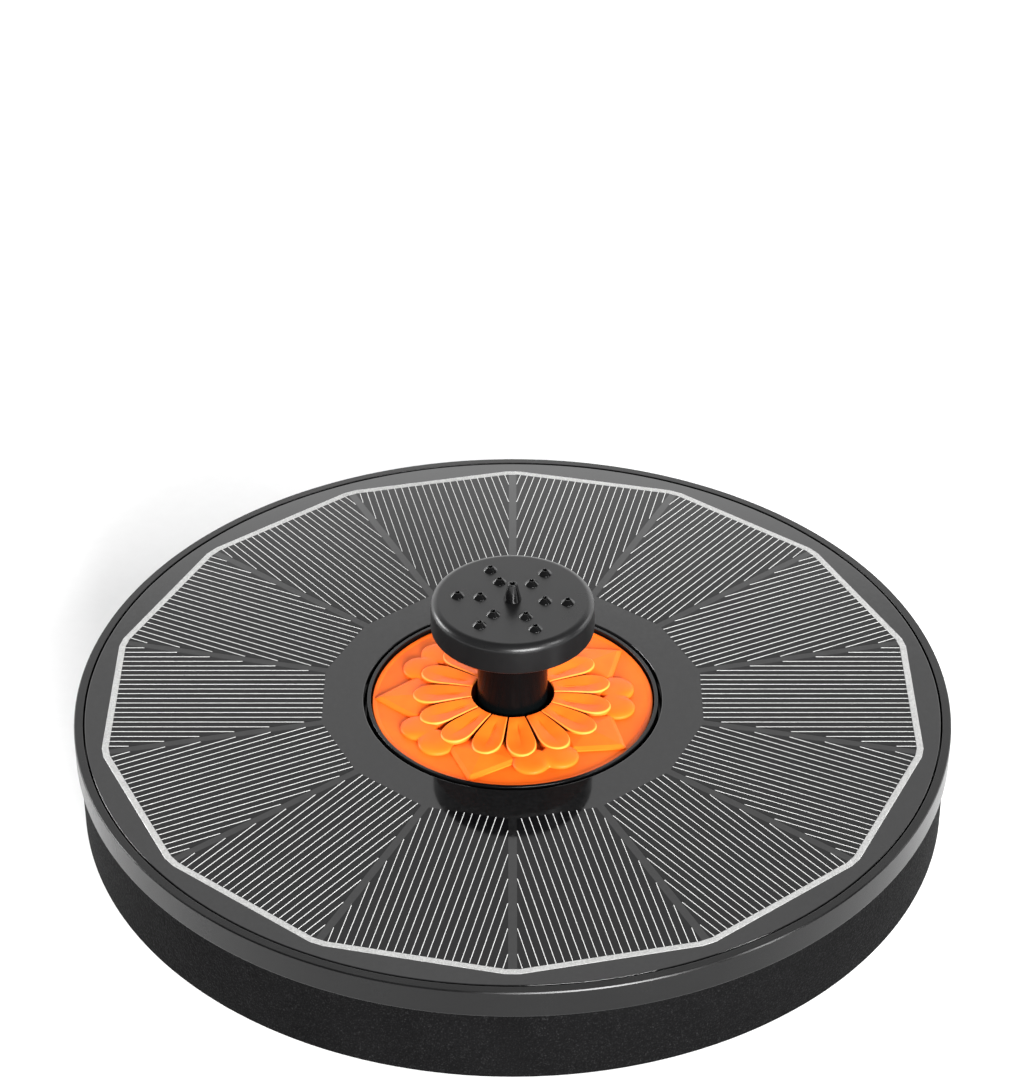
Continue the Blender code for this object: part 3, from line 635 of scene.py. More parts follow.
@dataclass(frozen=True)
class PaleGround:
    """The matt pale sheet that the fountain stands on, with a very faint tooth."""

    name: str = "pale_ground"
    colour: Colour = (0.93, 0.93, 0.93)

    def make(self) -> bpy.types.Material:
        """The material."""
        shader = Shader(self.name)
        tooth = shader.noise(350.0, 3.0, 0.6)
        shader.set(
            Base_Color=shader.shades(tooth, 0.3, 0.7, tint(self.colour, 0.985), self.colour),
            Roughness=0.9,
            Normal=shader.relief(tooth, 0.02 * MM, 0.3),
        )
        return shader.material


class Finishes:
    """Every finish on the fountain, made once."""

    def __init__(self) -> None:
        """Makes the materials, and lists which one each record slot takes."""
        black: Colour = (0.005, 0.005, 0.0052)
        deep: Colour = (0.0018, 0.0018, 0.0019)
        self.rim = MouldedPlastic("rim_black", deep, 0.24, 0.001 * MM, specular=0.25).make()
        # The riser's black is darker and bluish than the head's: painted shade, set against the flower's
        # orange light thrown on it.
        cool: Colour = (0.0012, 0.0018, 0.002)
        self.riser = MouldedPlastic("riser_black", cool, 0.22, 0.001 * MM, specular=0.045).make()
        self.head = MouldedPlastic("spray_head_black", black, 0.28, 0.001 * MM, specular=0.24).make()
        self.jet = MouldedPlastic("jet_black", deep, 0.12, 0.0005 * MM, specular=0.3).make()
        satin: Colour = (0.008, 0.008, 0.0085)
        self.housing = MouldedPlastic("housing_black", satin, 0.45, 0.008 * MM, specular=0.22).make()
        self.foam = ClosedCellFoam("float_foam", (0.002, 0.002, 0.0021)).make()
        self.sponge = ClosedCellFoam("filter_sponge", (0.017, 0.017, 0.018), 900.0, 0.5 * MM, 1.0).make()
        self.board = ResinOverBoard("panel_grey", (0.006, 0.006, 0.0062), 0.03, 0.55).make()
        self.cell = ResinOverBoard("cell_black", (0.002, 0.002, 0.0023), 0.04, 0.26, 0.4).make()
        self.silver = PrintedSilver().make()
        self.ribbon = TinnedRibbon().make()
        self.flower = FlowerEnamel().make()
        self.steel = WorkedMetal("stainless_steel", (0.62, 0.61, 0.6), 0.25).make()
        self.iron = WorkedMetal("stacked_iron", (0.3, 0.3, 0.31), 0.42, (0.05, 0.05, 1.0), 2500.0,
                                0.05 * MM).make()
        self.copper = Winding().make()
        self.circuit = SolderMask().make()
        self.component = MouldedPlastic("component_black", (0.02, 0.02, 0.021), 0.5).make()
        self.resin = MouldedPlastic("sealing_resin", (0.012, 0.012, 0.012), 0.2, 0.03 * MM, 240.0).make()
        self.magnet = MouldedPlastic("sintered_magnet", (0.04, 0.04, 0.044), 0.5, 0.02 * MM, 2500.0).make()
        self.white = MouldedPlastic("impeller_white", (0.7, 0.69, 0.66), 0.38).make()
        self.rubber = MouldedPlastic("black_rubber", (0.012, 0.012, 0.012), 0.7, 0.01 * MM, 3000.0).make()
        self.red = MouldedPlastic("red_insulation", (0.5, 0.018, 0.014), 0.45).make()
        self.tape = ClosedCellFoam("white_tape", (0.25, 0.25, 0.24), 3000.0, 0.05 * MM).make()
        self.ground = PaleGround().make()
        self.by_slot = {
            "black_plastic": self.rim, "housing_plastic": self.housing, "float_foam": self.foam,
            "panel_board": self.board, "solar_cell": self.cell, "tinned_ribbon": self.ribbon,
            "tape": self.tape, "orange_plastic": self.flower, "rubber": self.rubber,
            "stainless": self.steel, "core_iron": self.iron, "copper_wire": self.copper,
            "circuit_board": self.circuit, "component": self.component, "potting_resin": self.resin,
            "ferrite": self.magnet, "white_plastic": self.white, "filter_foam": self.sponge,
            "red_lead": self.red,
        }


# ---------------------------------------------------------------------------------------------
# Sub-assemblies
# ---------------------------------------------------------------------------------------------


@dataclass
class SubAssembly:
    """What every sub-assembly shares: its finishes, and how a finished piece is handed over."""

    finishes: Finishes

    def dress(self, obj: bpy.types.Object, material: bpy.types.Material, slot: str, body: Body,
              *nodes: str) -> bpy.types.Object:
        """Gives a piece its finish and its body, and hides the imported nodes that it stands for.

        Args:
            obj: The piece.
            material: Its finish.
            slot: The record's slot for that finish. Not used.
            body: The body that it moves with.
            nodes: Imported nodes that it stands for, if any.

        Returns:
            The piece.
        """
        obj.data.materials.clear()
        obj.data.materials.append(material)
        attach(obj, body.value)
        if nodes:
            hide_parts(*nodes)
        LOG.info("%s: %d faces, on %s", obj.name, len(obj.data.polygons), body.value)
        return obj


@dataclass
class Tray(SubAssembly):
    """The moulded tray: rim, floor and the collar round the flower."""

    wall: float = 1.6 * MM
    edge: float = 0.16 * MM
    floor: float = 1.8 * MM
    collar_outer: float = 26.65 * MM
    collar_inner: float = 26.0 * MM
    bore: float = 5.3 * MM
    columns: int = 288

    def build(self) -> None:
        """Makes the tray as one turned piece."""
        low, high = node_box("top_housing")
        radius, bottom, top = high[0], low[2], high[2]
        floor = bottom + self.floor
        inside = radius - self.wall
        profile = rounded([
            (radius, bottom, 0.4 * MM),
            (radius, top - 1.5 * self.edge, 0.3 * self.edge),
            (radius - self.edge, top, 0.3 * self.edge),
            (inside, top, 0.08 * MM),
            (inside, floor, 0.2 * MM),
            (self.collar_outer, floor, 0.2 * MM),
            (self.collar_outer, top, 0.08 * MM),
            (self.collar_inner, top, 0.08 * MM),
            (self.collar_inner, floor, 0.2 * MM),
            (self.bore, floor, 0.2 * MM),
            (self.bore, bottom, 0.2 * MM),
        ])
        tray = turned("tray", profile, self.columns)
        self.dress(tray, self.finishes.rim, "black_plastic", Body.BASE, "top_housing")


@dataclass
class Panel(SubAssembly):
    """The laminated panel: board, fourteen cells with their printed lines, and the ribbon round them."""

    cells: int = 14
    bore: float = 27.4 * MM
    cell_inner: float = 34.7 * MM
    cell_outer: float = 72.5 * MM
    separator_half: float = 0.75 * MM
    ribbon_width: float = 1.25 * MM
    ribbon_corner: float = 1.2 * MM
    lines: int = 22
    line_pitch: float = 1.42 * MM
    line_half: float = 0.06 * MM
    skin: float = 0.03 * MM

    def build(self) -> None:
        """Makes every piece of the panel."""
        low, high = node_box("panel_board")
        self.radius, self.bottom, self.top = high[0], low[2], high[2]
        self.half_angle = math.pi / self.cells
        self.board()
        for index in range(self.cells):
            self.cell(index)
        self.fingers()
        self.ribbon()

    def board(self) -> None:
        """The board, flush with the cells, with the resin's rounded edges."""
        top = self.top - 2.0 * self.skin
        profile = rounded([
            (self.bore, top, 0.12 * MM),
            (self.bore, self.bottom, 0.1 * MM),
            (self.radius, self.bottom, 0.1 * MM),
            (self.radius, top, 0.12 * MM),
        ])
        board = turned("panel_face", profile, 288)
        self.dress(board, self.finishes.board, "panel_board", Body.BASE, "panel_board")

    def to_place(self, points: np.ndarray, index: int) -> np.ndarray:
        """Points (out, across) of a cell turned to the cell's place: the middle line goes to its angle."""
        angle = -math.pi / 2.0 + (2 * index + 1) * self.half_angle
        turn = np.array([[math.cos(angle), math.sin(angle)], [-math.sin(angle), math.cos(angle)]])
        return points @ turn

    def half_width(self, out: np.ndarray | float) -> np.ndarray | float:
        """Half a cell's width at a distance out: it grows with the distance, less the separator's half."""
        return out * math.tan(self.half_angle) - self.separator_half / math.cos(self.half_angle)

    def cell(self, index: int) -> None:
        """One tapered cell, a thin flat plate."""
        inner, outer = self.half_width(self.cell_inner), self.half_width(self.cell_outer)
        outline = np.array([[self.cell_inner, -inner], [self.cell_outer, -outer],
                            [self.cell_outer, outer], [self.cell_inner, inner]])
        name = f"cell_face_{index + 1:02d}"
        plate = prism(name, self.to_place(outline, index), self.top - 0.3 * MM, self.top - self.skin)
        self.dress(plate, self.finishes.cell, "solar_cell", Body.BASE, f"solar_cell_{index + 1:02d}")

    def fingers(self) -> None:
        """The printed lines of all cells.

        Line number k of a cell runs at (k - 10.5) pitches from its middle, parallel to the middle
        line, from the later of the cell's inner end and the place where the cell's side reaches
        that distance, to the ribbon. Each is a low bar with a flat top.
        """
        across = (np.arange(self.lines) - (self.lines - 1) / 2.0) * self.line_pitch
        tangent = math.tan(self.half_angle)
        side = self.line_half + self.separator_half / math.cos(self.half_angle)
        start = np.maximum((np.abs(across) + side) / tangent, self.cell_inner)
        sides = np.array([-1.0, 1.0, 1.0, -1.0]) * self.line_half
        end = np.full_like(start, self.cell_outer)
        out = np.stack([start, start, end, end], axis=1)
        flat = np.stack([out, across[:, None] + sides[None, :]], axis=-1)
        placed = np.stack([self.to_place(flat, index) for index in range(self.cells)]).reshape(-1, 4, 2)
        count = len(placed)
        levels = np.array([self.top - 2.0 * self.skin, self.top])
        points = np.empty((count, 2, 4, 3))
        points[..., :2] = placed[:, None]
        points[..., 2] = levels[None, :, None]
        faces = np.array([[7, 6, 5, 4], [0, 1, 2, 3], [4, 5, 1, 0], [5, 6, 2, 1], [6, 7, 3, 2],
                          [7, 4, 0, 3]])
        quads = (np.arange(count)[:, None, None] * 8 + faces[None]).reshape(-1, 4)
        lines = mesh_object("cell_fingers", points.reshape(-1, 3), quads, NO_TRIANGLES)
        lines.data.shade_flat()
        self.dress(lines, self.finishes.silver, "tinned_ribbon", Body.BASE)

    def ribbon(self) -> None:
        """The ribbon: a ring of fourteen long sides joined by short ones, with a low rounded section.

        The ring's plan is a polygon with its corners cut. Its section, a low arch, is carried along
        that plan: a section point at a distance out moves along each plan corner's mitre.
        """
        inner, outer = self.cell_outer, self.cell_outer + self.ribbon_width
        middle = 0.5 * (inner + outer)
        corner = -math.pi / 2.0 + 2.0 * self.half_angle * np.arange(self.cells)
        reach = middle / math.cos(self.half_angle)
        cut = self.ribbon_corner / math.cos(self.half_angle)
        face = corner[:, None] + np.array([-1.0, 1.0]) * self.half_angle
        plan_corner = reach * np.stack([np.cos(corner), np.sin(corner)], axis=-1)
        along = np.stack([-np.sin(face), np.cos(face)], axis=-1) * np.array([-1.0, 1.0])[None, :, None]
        plan = plan_corner[:, None, :] + cut * along
        plan_face = np.stack([np.cos(face), np.sin(face)], axis=-1)
        bisector = np.stack([np.cos(corner), np.sin(corner)], axis=-1)[:, None, :]
        mitre = unit(plan_face + bisector) / np.cos(self.half_angle / 2.0)
        low, high = self.top - 0.3 * MM, self.top
        half = 0.5 * (outer - inner)
        section = rounded([(half, low, 0.05 * MM), (half, high, 0.14 * MM), (-half, high, 0.14 * MM),
                           (-half, low, 0.05 * MM)], 4)
        line, side = plan.reshape(-1, 2), mitre.reshape(-1, 2)
        flat = line[None] + section[:, 0, None, None] * side[None]
        height = np.broadcast_to(section[:, 1, None, None], flat.shape[:2] + (1,))
        points = np.concatenate([flat, height], axis=-1).reshape(-1, 3)
        ring = mesh_object("border_band", points, grid_faces(len(section), len(line), True),
                           NO_TRIANGLES)
        ring.data.set_sharp_from_angle(angle=math.radians(20.0))
        self.dress(ring, self.finishes.ribbon, "tinned_ribbon", Body.BASE, "border_ribbon")


@dataclass
class Flower(SubAssembly):
    """The moulded flower: a dished disc under hearts, pointed leaves and a ring of petals."""

    petals: int = 15
    leaves: int = 5
    bore: float = 7.6 * MM
    flat_below_top: float = 0.8 * MM
    seam_shade_radius: float = 17.0 * MM
    petal_round: float = 13.5 * MM
    petal_tip: float = 18.35 * MM
    petal_share: float = 0.915
    petal_high: float = 1.8 * MM
    petal_low: float = 1.3 * MM
    petal_valley: float = 0.6 * MM
    leaf_turn: float = math.radians(36.0)
    leaf_tip: float = 25.3 * MM
    leaf_corner: tuple[float, float] = (17.7 * MM, 6.5 * MM)
    leaf_edge: float = 0.62 * MM
    leaf_roof: float = 0.5 * MM
    heart_out: float = 19.0 * MM
    heart_apart: float = 2.85 * MM
    heart_radius: float = 3.5 * MM
    heart_rise: float = 1.05 * MM
    sunk: float = 0.3 * MM

    def build(self) -> None:
        """Makes the disc, then the three kinds of raised shapes on it."""
        low, high = node_box("flower_insert")
        self.radius = 0.5 * (high[0] - low[0])
        self.foot = low[2]
        self.flat = node_box("top_housing")[1][2] - self.flat_below_top
        self.disc()
        self.ring_of("flower_petals", self.petal(), self.petals, math.pi / self.petals, 25.0)
        self.ring_of("flower_hearts", self.heart(), self.leaves, 0.0, 40.0)
        self.ring_of("flower_leaves", self.leaf(), self.leaves, self.leaf_turn, 5.0)

    def disc(self) -> None:
        """The disc with its two skirts, turned. It is painted dark near the bore: painted shade where it
        shows in the seams between the petals.
        """
        wall, under = 1.4 * MM, self.flat - 1.5 * MM
        profile = rounded([
            (self.radius, self.foot, 0.1 * MM),
            (self.radius, self.flat + 0.12 * MM, 0.12 * MM),
            (self.radius - 0.5 * MM, self.flat + 0.1 * MM, 0.3 * MM),
            (self.radius - 0.9 * MM, self.flat, 0.4 * MM),
            (16.0 * MM, self.flat, 0.1 * MM),
            (self.bore + 0.1 * MM, self.flat, 0.3 * MM),
            (self.bore + 0.1 * MM, self.foot, 0.1 * MM),
            (self.bore + wall, self.foot, 0.1 * MM),
            (self.bore + wall, under, 0.2 * MM),
            (self.radius - wall, under, 0.2 * MM),
            (self.radius - wall, self.foot, 0.1 * MM),
        ])
        disc = turned("flower_disc", profile, 240)
        points = read_points(disc)
        distance = np.hypot(points[:, 0], points[:, 1])
        # Painted shade near the bore, fading out by the seam radius; no painted highlight on the disc.
        set_attribute(disc, "seam_shade", 0.95 * ease(-distance, -self.seam_shade_radius, 2.5 * MM - self.seam_shade_radius))
        set_attribute(disc, "edge", np.zeros(len(points)))
        self.dress(disc, self.finishes.flower, "orange_plastic", Body.BASE, "flower_insert")

    def ring_of(self, name: str, rings: np.ndarray, count: int, turn: float, sharp: float) -> None:
        """Copies one raised shape round the bore, all in one mesh.

        Args:
            name: The piece's name.
            rings: The shape's closed outlines from foot to middle, shape (rings, steps, 5): out,
            across, height, painted seam shade and painted edge highlight.
            count: How many copies.
            turn: The first copy's angle.
            sharp: Edges that turn by more than this many degrees stay crisp.
        """
        rows, steps = rings.shape[:2]
        angle = turn + 2.0 * np.pi * np.arange(count)[:, None, None] / count
        out, across, height = rings[None, ..., 0], rings[None, ..., 1], rings[..., 2]
        x = out * np.cos(angle) - across * np.sin(angle)
        y = out * np.sin(angle) + across * np.cos(angle)
        points = np.stack([x, y, np.broadcast_to(self.flat + height, x.shape)], axis=-1)
        middle = points[:, -1].mean(axis=1)
        under = points[:, 0].mean(axis=1)
        one = rows * steps
        here = np.arange(steps)
        after = (here + 1) % steps
        top = (rows - 1) * steps
        cap = np.stack([top + here, top + after, np.full(steps, count * one)], axis=-1)
        base = np.stack([after, here, np.full(steps, count * (one + 1))], axis=-1)
        start = np.arange(count)[:, None, None]
        quads = (grid_faces(rows, steps, False)[None] + start * one).reshape(-1, 4)
        lift = start * np.array([one, one, 1])
        triangles = np.concatenate([(end[None] + lift).reshape(-1, 3) for end in (cap, base)])
        all_points = np.concatenate([points.reshape(-1, 3), middle, under])
        piece = mesh_object(name, all_points, quads, triangles)
        outward(piece)
        piece.data.set_sharp_from_angle(angle=math.radians(sharp))
        # Column 3 is painted shade in the seams, column 4 a painted highlight on the edges.
        for column, attribute in ((3, "seam_shade"), (4, "edge")):
            values = np.tile(rings[..., column].ravel(), count)
            ends = np.tile([rings[-1, :, column].mean()], count)
            set_attribute(piece, attribute, np.concatenate([values, ends, ends]))
        self.dress(piece, self.finishes.flower, "orange_plastic", Body.BASE)

    def petal(self) -> np.ndarray:
        """A petal's outlines, from the wall's foot to the valley down its middle.

        The outline at share q of full size runs at q half petal angles up one side, over the tip
        as half an ellipse of q times the round's length, and down the other side. Heights fall
        from the bore to the tip, and fall from the edge to the valley.
        """
        side = np.linspace(0.0, 1.0, 14)
        tip = np.linspace(0.0, np.pi, 33)[1:-1]
        spread = np.concatenate([np.ones(14), np.cos(tip), -np.ones(14), np.linspace(-1.0, 1.0, 9)[1:-1]])
        past = np.concatenate([np.zeros(14), np.sin(tip), np.zeros(14), np.zeros(7)])
        along = np.concatenate([side, np.ones(len(tip)), side[::-1], np.zeros(7)])
        share = np.array([1.0, 1.0, 0.99, 0.97, 0.93, 0.86, 0.7, 0.5, 0.3, 0.15, 0.05, 0.012])[:, None]
        drop = np.array([0.0, 0.4, 0.33, 0.16, 0.02, 0.0, 0.0, 0.0, 0.0, 0.0, 0.0, 0.0])[:, None] * MM
        half = self.petal_share * math.pi / self.petals
        start = self.bore + 1.6 * MM * (1.0 - share)
        length = self.petal_tip - self.petal_round
        radius = start + (self.petal_round - start) * along + share * past * length
        angle = share * half * spread
        fall = ease(radius, 9.0 * MM, self.petal_tip + 1.5 * MM)
        top = self.petal_high + (self.petal_low - self.petal_high) * fall - drop
        hollow = (1.0 - np.abs(share * spread)) * ease(-radius, -17.9 * MM, -13.0 * MM)
        hollow = hollow * ease(radius, self.bore, 11.0 * MM)
        height = top - self.petal_valley * hollow
        height[0] = -self.sunk
        # Painted shade on the two foot rings near the bore, where the petals meet in dark seams.
        seam_shade = np.zeros_like(height)
        seam_shade[0] = seam_shade[1] = 1.0
        seam_shade *= ease(-radius, -16.5 * MM, -14.0 * MM)
        # Painted highlight on the rings at the rounded rim of the petal's top, kept off the painted shade.
        edge = np.broadcast_to(np.exp(-((0.965 - share) / 0.025) ** 2), height.shape) * (height > 0.0)
        edge = edge * (1.0 - seam_shade)
        return np.stack([radius * np.cos(angle), radius * np.sin(angle), height, seam_shade, edge * 0.8], axis=-1)

    def heart(self) -> np.ndarray:
        """A heart's outlines: two round lobes side by side, domed like a pillow.

        From a point between the lobes, the outline's distance in each direction is a soft maximum
        of the two distances at which a ray leaves the lobes' circles. The height follows the square
        root of 1 less the fourth power of the share of full size, less a soft crease between the
        lobes.
        """
        direction = np.linspace(0.0, 2.0 * np.pi, 96, endpoint=False)
        way = np.stack([np.cos(direction), np.sin(direction)], axis=-1)
        lobes = np.array([[0.6 * MM, -self.heart_apart], [0.6 * MM, self.heart_apart]])
        reach = way @ lobes.T
        inside = self.heart_radius ** 2 - (lobes ** 2).sum(1) + reach ** 2
        leave = reach + np.sqrt(np.clip(inside, 0.0, None))
        outline = (np.clip(leave, 0.2 * MM, None) ** 6.0).sum(1) ** (1.0 / 6.0) * 0.965
        share = np.array([1.0, 1.0, 0.992, 0.97, 0.93, 0.87, 0.79, 0.69, 0.57, 0.42, 0.26, 0.1])[:, None]
        out = self.heart_out - 0.6 * MM + share * outline * np.cos(direction)
        across = share * outline * np.sin(direction)
        dome = np.sqrt(np.clip(1.0 - share ** 4, 0.0, None))
        height = np.broadcast_to(0.3 * MM + (self.heart_rise - 0.3 * MM) * dome, out.shape).copy()
        crease = np.exp(-(across / (1.0 * MM)) ** 2) * ease(out, 18.0 * MM, 21.5 * MM)
        height -= 0.22 * MM * crease * (height > 0.2 * MM)
        height[0] = -self.sunk
        none = np.zeros_like(height)
        # Painted shade: a dark line round the heart's foot.
        foot = none.copy()
        foot[0] = 0.6
        return np.stack([out, across, height, foot, none], axis=-1)

    def leaf(self) -> np.ndarray:
        """A pointed leaf's outlines: four straight sides with small rounded corners under a low roof.

        Each outline is the first one shrunk towards the middle. A broad bevel runs round the edge,
        and inside it the roof rises evenly to the middle.
        """
        corner_out, corner_across = self.leaf_corner
        plan = rounded([(self.leaf_tip, 0.0, 0.25 * MM), (corner_out, corner_across, 0.4 * MM),
                        (9.6 * MM, 0.0, 0.25 * MM), (corner_out, -corner_across, 0.4 * MM)], 5)
        middle = np.array([corner_out - 0.5 * MM, 0.0])
        share = np.array([1.0, 1.0, 0.87, 0.855, 0.65, 0.45, 0.25, 0.05])[:, None]
        drop = np.array([0.0, 0.34, 0.02, 0.0, 0.0, 0.0, 0.0, 0.0])[:, None] * MM
        place = middle + share[..., None] * (plan - middle)[None]
        height = np.broadcast_to(self.leaf_edge - drop + self.leaf_roof * (1.0 - share),
                                 place.shape[:2]).copy()
        height[0] = -self.sunk
        none = np.zeros_like(height)
        return np.concatenate([place, np.stack([height, none, none], axis=-1)], axis=-1)


@dataclass
class Float(SubAssembly):
    """The foam ring under the tray."""

    bore: float = 34.8 * MM
    round_low: float = 0.6 * MM
    round_high: float = 0.3 * MM

    def build(self) -> None:
        """Makes the ring as one turned piece."""
        low, high = node_box("float_ring")
        radius = high[0]
        profile = rounded([
            (self.bore, high[2], 0.4 * MM),
            (self.bore, low[2], 1.0 * MM),
            (radius, low[2], self.round_low),
            (radius, high[2], self.round_high),
        ], 9)
        ring = turned("float", profile, 288)
        self.dress(ring, self.finishes.foam, "float_foam", Body.BASE, "float_ring")


@dataclass
class Riser(SubAssembly):
    """The tube that carries the spray head."""

    bore: float = 4.9 * MM
    neck: float = 4.6 * MM
    neck_bore: float = 3.4 * MM
    neck_height: float = 2.8 * MM
    step_height: float = 0.9 * MM

    def build(self) -> None:
        """Makes the riser as one turned piece, with a shallow step under the spray head."""
        low, high = node_box("riser_tube")
        radius, foot, top = high[0], low[2], high[2]
        shoulder = top - self.neck_height
        slim = radius - 0.35 * MM
        seat = node_box("pump_housing")[1][2]
        profile = rounded([
            (radius, foot, 0.4 * MM),
            (radius, shoulder - self.step_height, 0.15 * MM),
            (slim, shoulder - self.step_height + 0.15 * MM, 0.1 * MM),
            (slim, shoulder, 0.15 * MM),
            (self.neck, shoulder, 0.1 * MM),
            (self.neck, top, 0.3 * MM),
            (self.neck_bore, top, 0.2 * MM),
            (self.neck_bore, seat + 2.0 * MM, 0.2 * MM),
            (self.bore, seat + 0.6 * MM, 0.2 * MM),
            (self.bore, foot, 0.4 * MM),
        ])
        tube = turned("riser", profile, 160)
        self.dress(tube, self.finishes.riser, "black_plastic", Body.RISER, "riser_tube")


@dataclass
class SprayHead(SubAssembly):
    """The hollow round head, and the raised cones that its jets leave by."""

    height: float = 5.8 * MM
    edge: float = 1.4 * MM
    plate: float = 1.3 * MM
    floor: float = 1.4 * MM
    bore: float = 4.9 * MM
    wall: float = 1.8 * MM
    jet_bore: float = 0.4 * MM
    jet_foot: float = 1.27 * MM
    jet_mouth: float = 0.55 * MM
    jet_height: float = 0.75 * MM
    centre_bore: float = 0.5 * MM
    centre_foot: float = 1.6 * MM
    centre_mouth: float = 0.8 * MM
    ring_radii: tuple[float, float] = (5.85 * MM, 9.95 * MM)
    jets_per_ring: int = 6
    turn: float = math.radians(-6.1)

    def build(self) -> None:
        """Makes the head as one turned piece, bores it, and sets the cones on it."""
        low, high = node_box("spray_head")
        radius, bottom, peak = high[0], low[2], high[2]
        top = bottom + self.height
        ceiling, inside = top - self.plate, bottom + self.floor
        profile = rounded([
            (self.bore, bottom, 0.15 * MM),
            (radius, bottom, 0.2 * MM),
            (radius, top, self.edge),
            (radius - self.edge - 0.15 * MM, top, 0.0),
            (self.centre_bore, top, 0.0),
            (self.centre_bore, ceiling, 0.0),
            (radius - self.wall, ceiling, 0.6 * MM),
            (radius - self.wall, inside, 0.6 * MM),
            (self.bore, inside, 0.15 * MM),
        ], 13)
        head = turned("spray_head_shell", profile, 192)
        cones, bores = [], []
        for index, spot in enumerate(self.jet_places()):
            mouth = top + self.jet_height
            cones.append(self.cone(index, spot, top, mouth, self.jet_foot, self.jet_mouth, self.jet_bore))
            bores.append(self.drill(index, spot, ceiling - 0.5 * MM, top + 0.1 * MM))
        cones.append(self.cone(len(cones), np.zeros(2), top, peak, self.centre_foot, self.centre_mouth,
                               self.centre_bore))
        carved(head, [joined("jet_bores", bores)], 30.0)
        self.dress(head, self.finishes.head, "black_plastic", Body.SPRAY_HEAD, "spray_head")
        jets = joined("jets", cones)
        jets.data.shade_smooth()
        jets.data.set_sharp_from_angle(angle=math.radians(35.0))
        self.dress(jets, self.finishes.jet, "black_plastic", Body.SPRAY_HEAD)

    def jet_places(self) -> np.ndarray:
        """Two rings of places on the same spokes."""
        spoke = self.turn + 2.0 * np.pi * np.arange(self.jets_per_ring) / self.jets_per_ring
        direction = np.stack([np.cos(spoke), np.sin(spoke)], axis=-1)
        return np.vstack([radius * direction for radius in self.ring_radii])

    @staticmethod
    def cone(index: int, spot: np.ndarray, top: float, mouth: float, foot_radius: float,
             mouth_radius: float, bore: float) -> bpy.types.Object:
        """One hollow cone, turned about its own axis and moved to its place.

        Args:
            index: Its number.
            spot: Its place in plan.
            top: The head's top, which it stands on.
            mouth: Its own top.
            foot_radius: Its radius at the head's top.
            mouth_radius: Its radius at its mouth.
            bore: Its bore's radius.

        Returns:
            The cone.
        """
        root = top - 0.05 * MM
        profile = rounded([(bore, root, 0.0), (foot_radius, root, 0.0),
                           (foot_radius, top + 0.06 * MM, 0.05 * MM),
                           (mouth_radius, mouth, 0.09 * MM), (bore, mouth, 0.06 * MM)], 4)
        cone = turned(f"cone_{index}", profile, 40)
        write_points(cone, read_points(cone) + np.array([spot[0], spot[1], 0.0]))
        return cone

    def drill(self, index: int, spot: np.ndarray, low: float, high: float) -> bpy.types.Object:
        """A straight drill at a jet's place."""
        angle = np.linspace(0.0, 2.0 * np.pi, 20, endpoint=False)
        outline = spot + self.jet_bore * np.stack([np.cos(angle), np.sin(angle)], axis=-1)
        return prism(f"drill_{index}", outline, low, high)


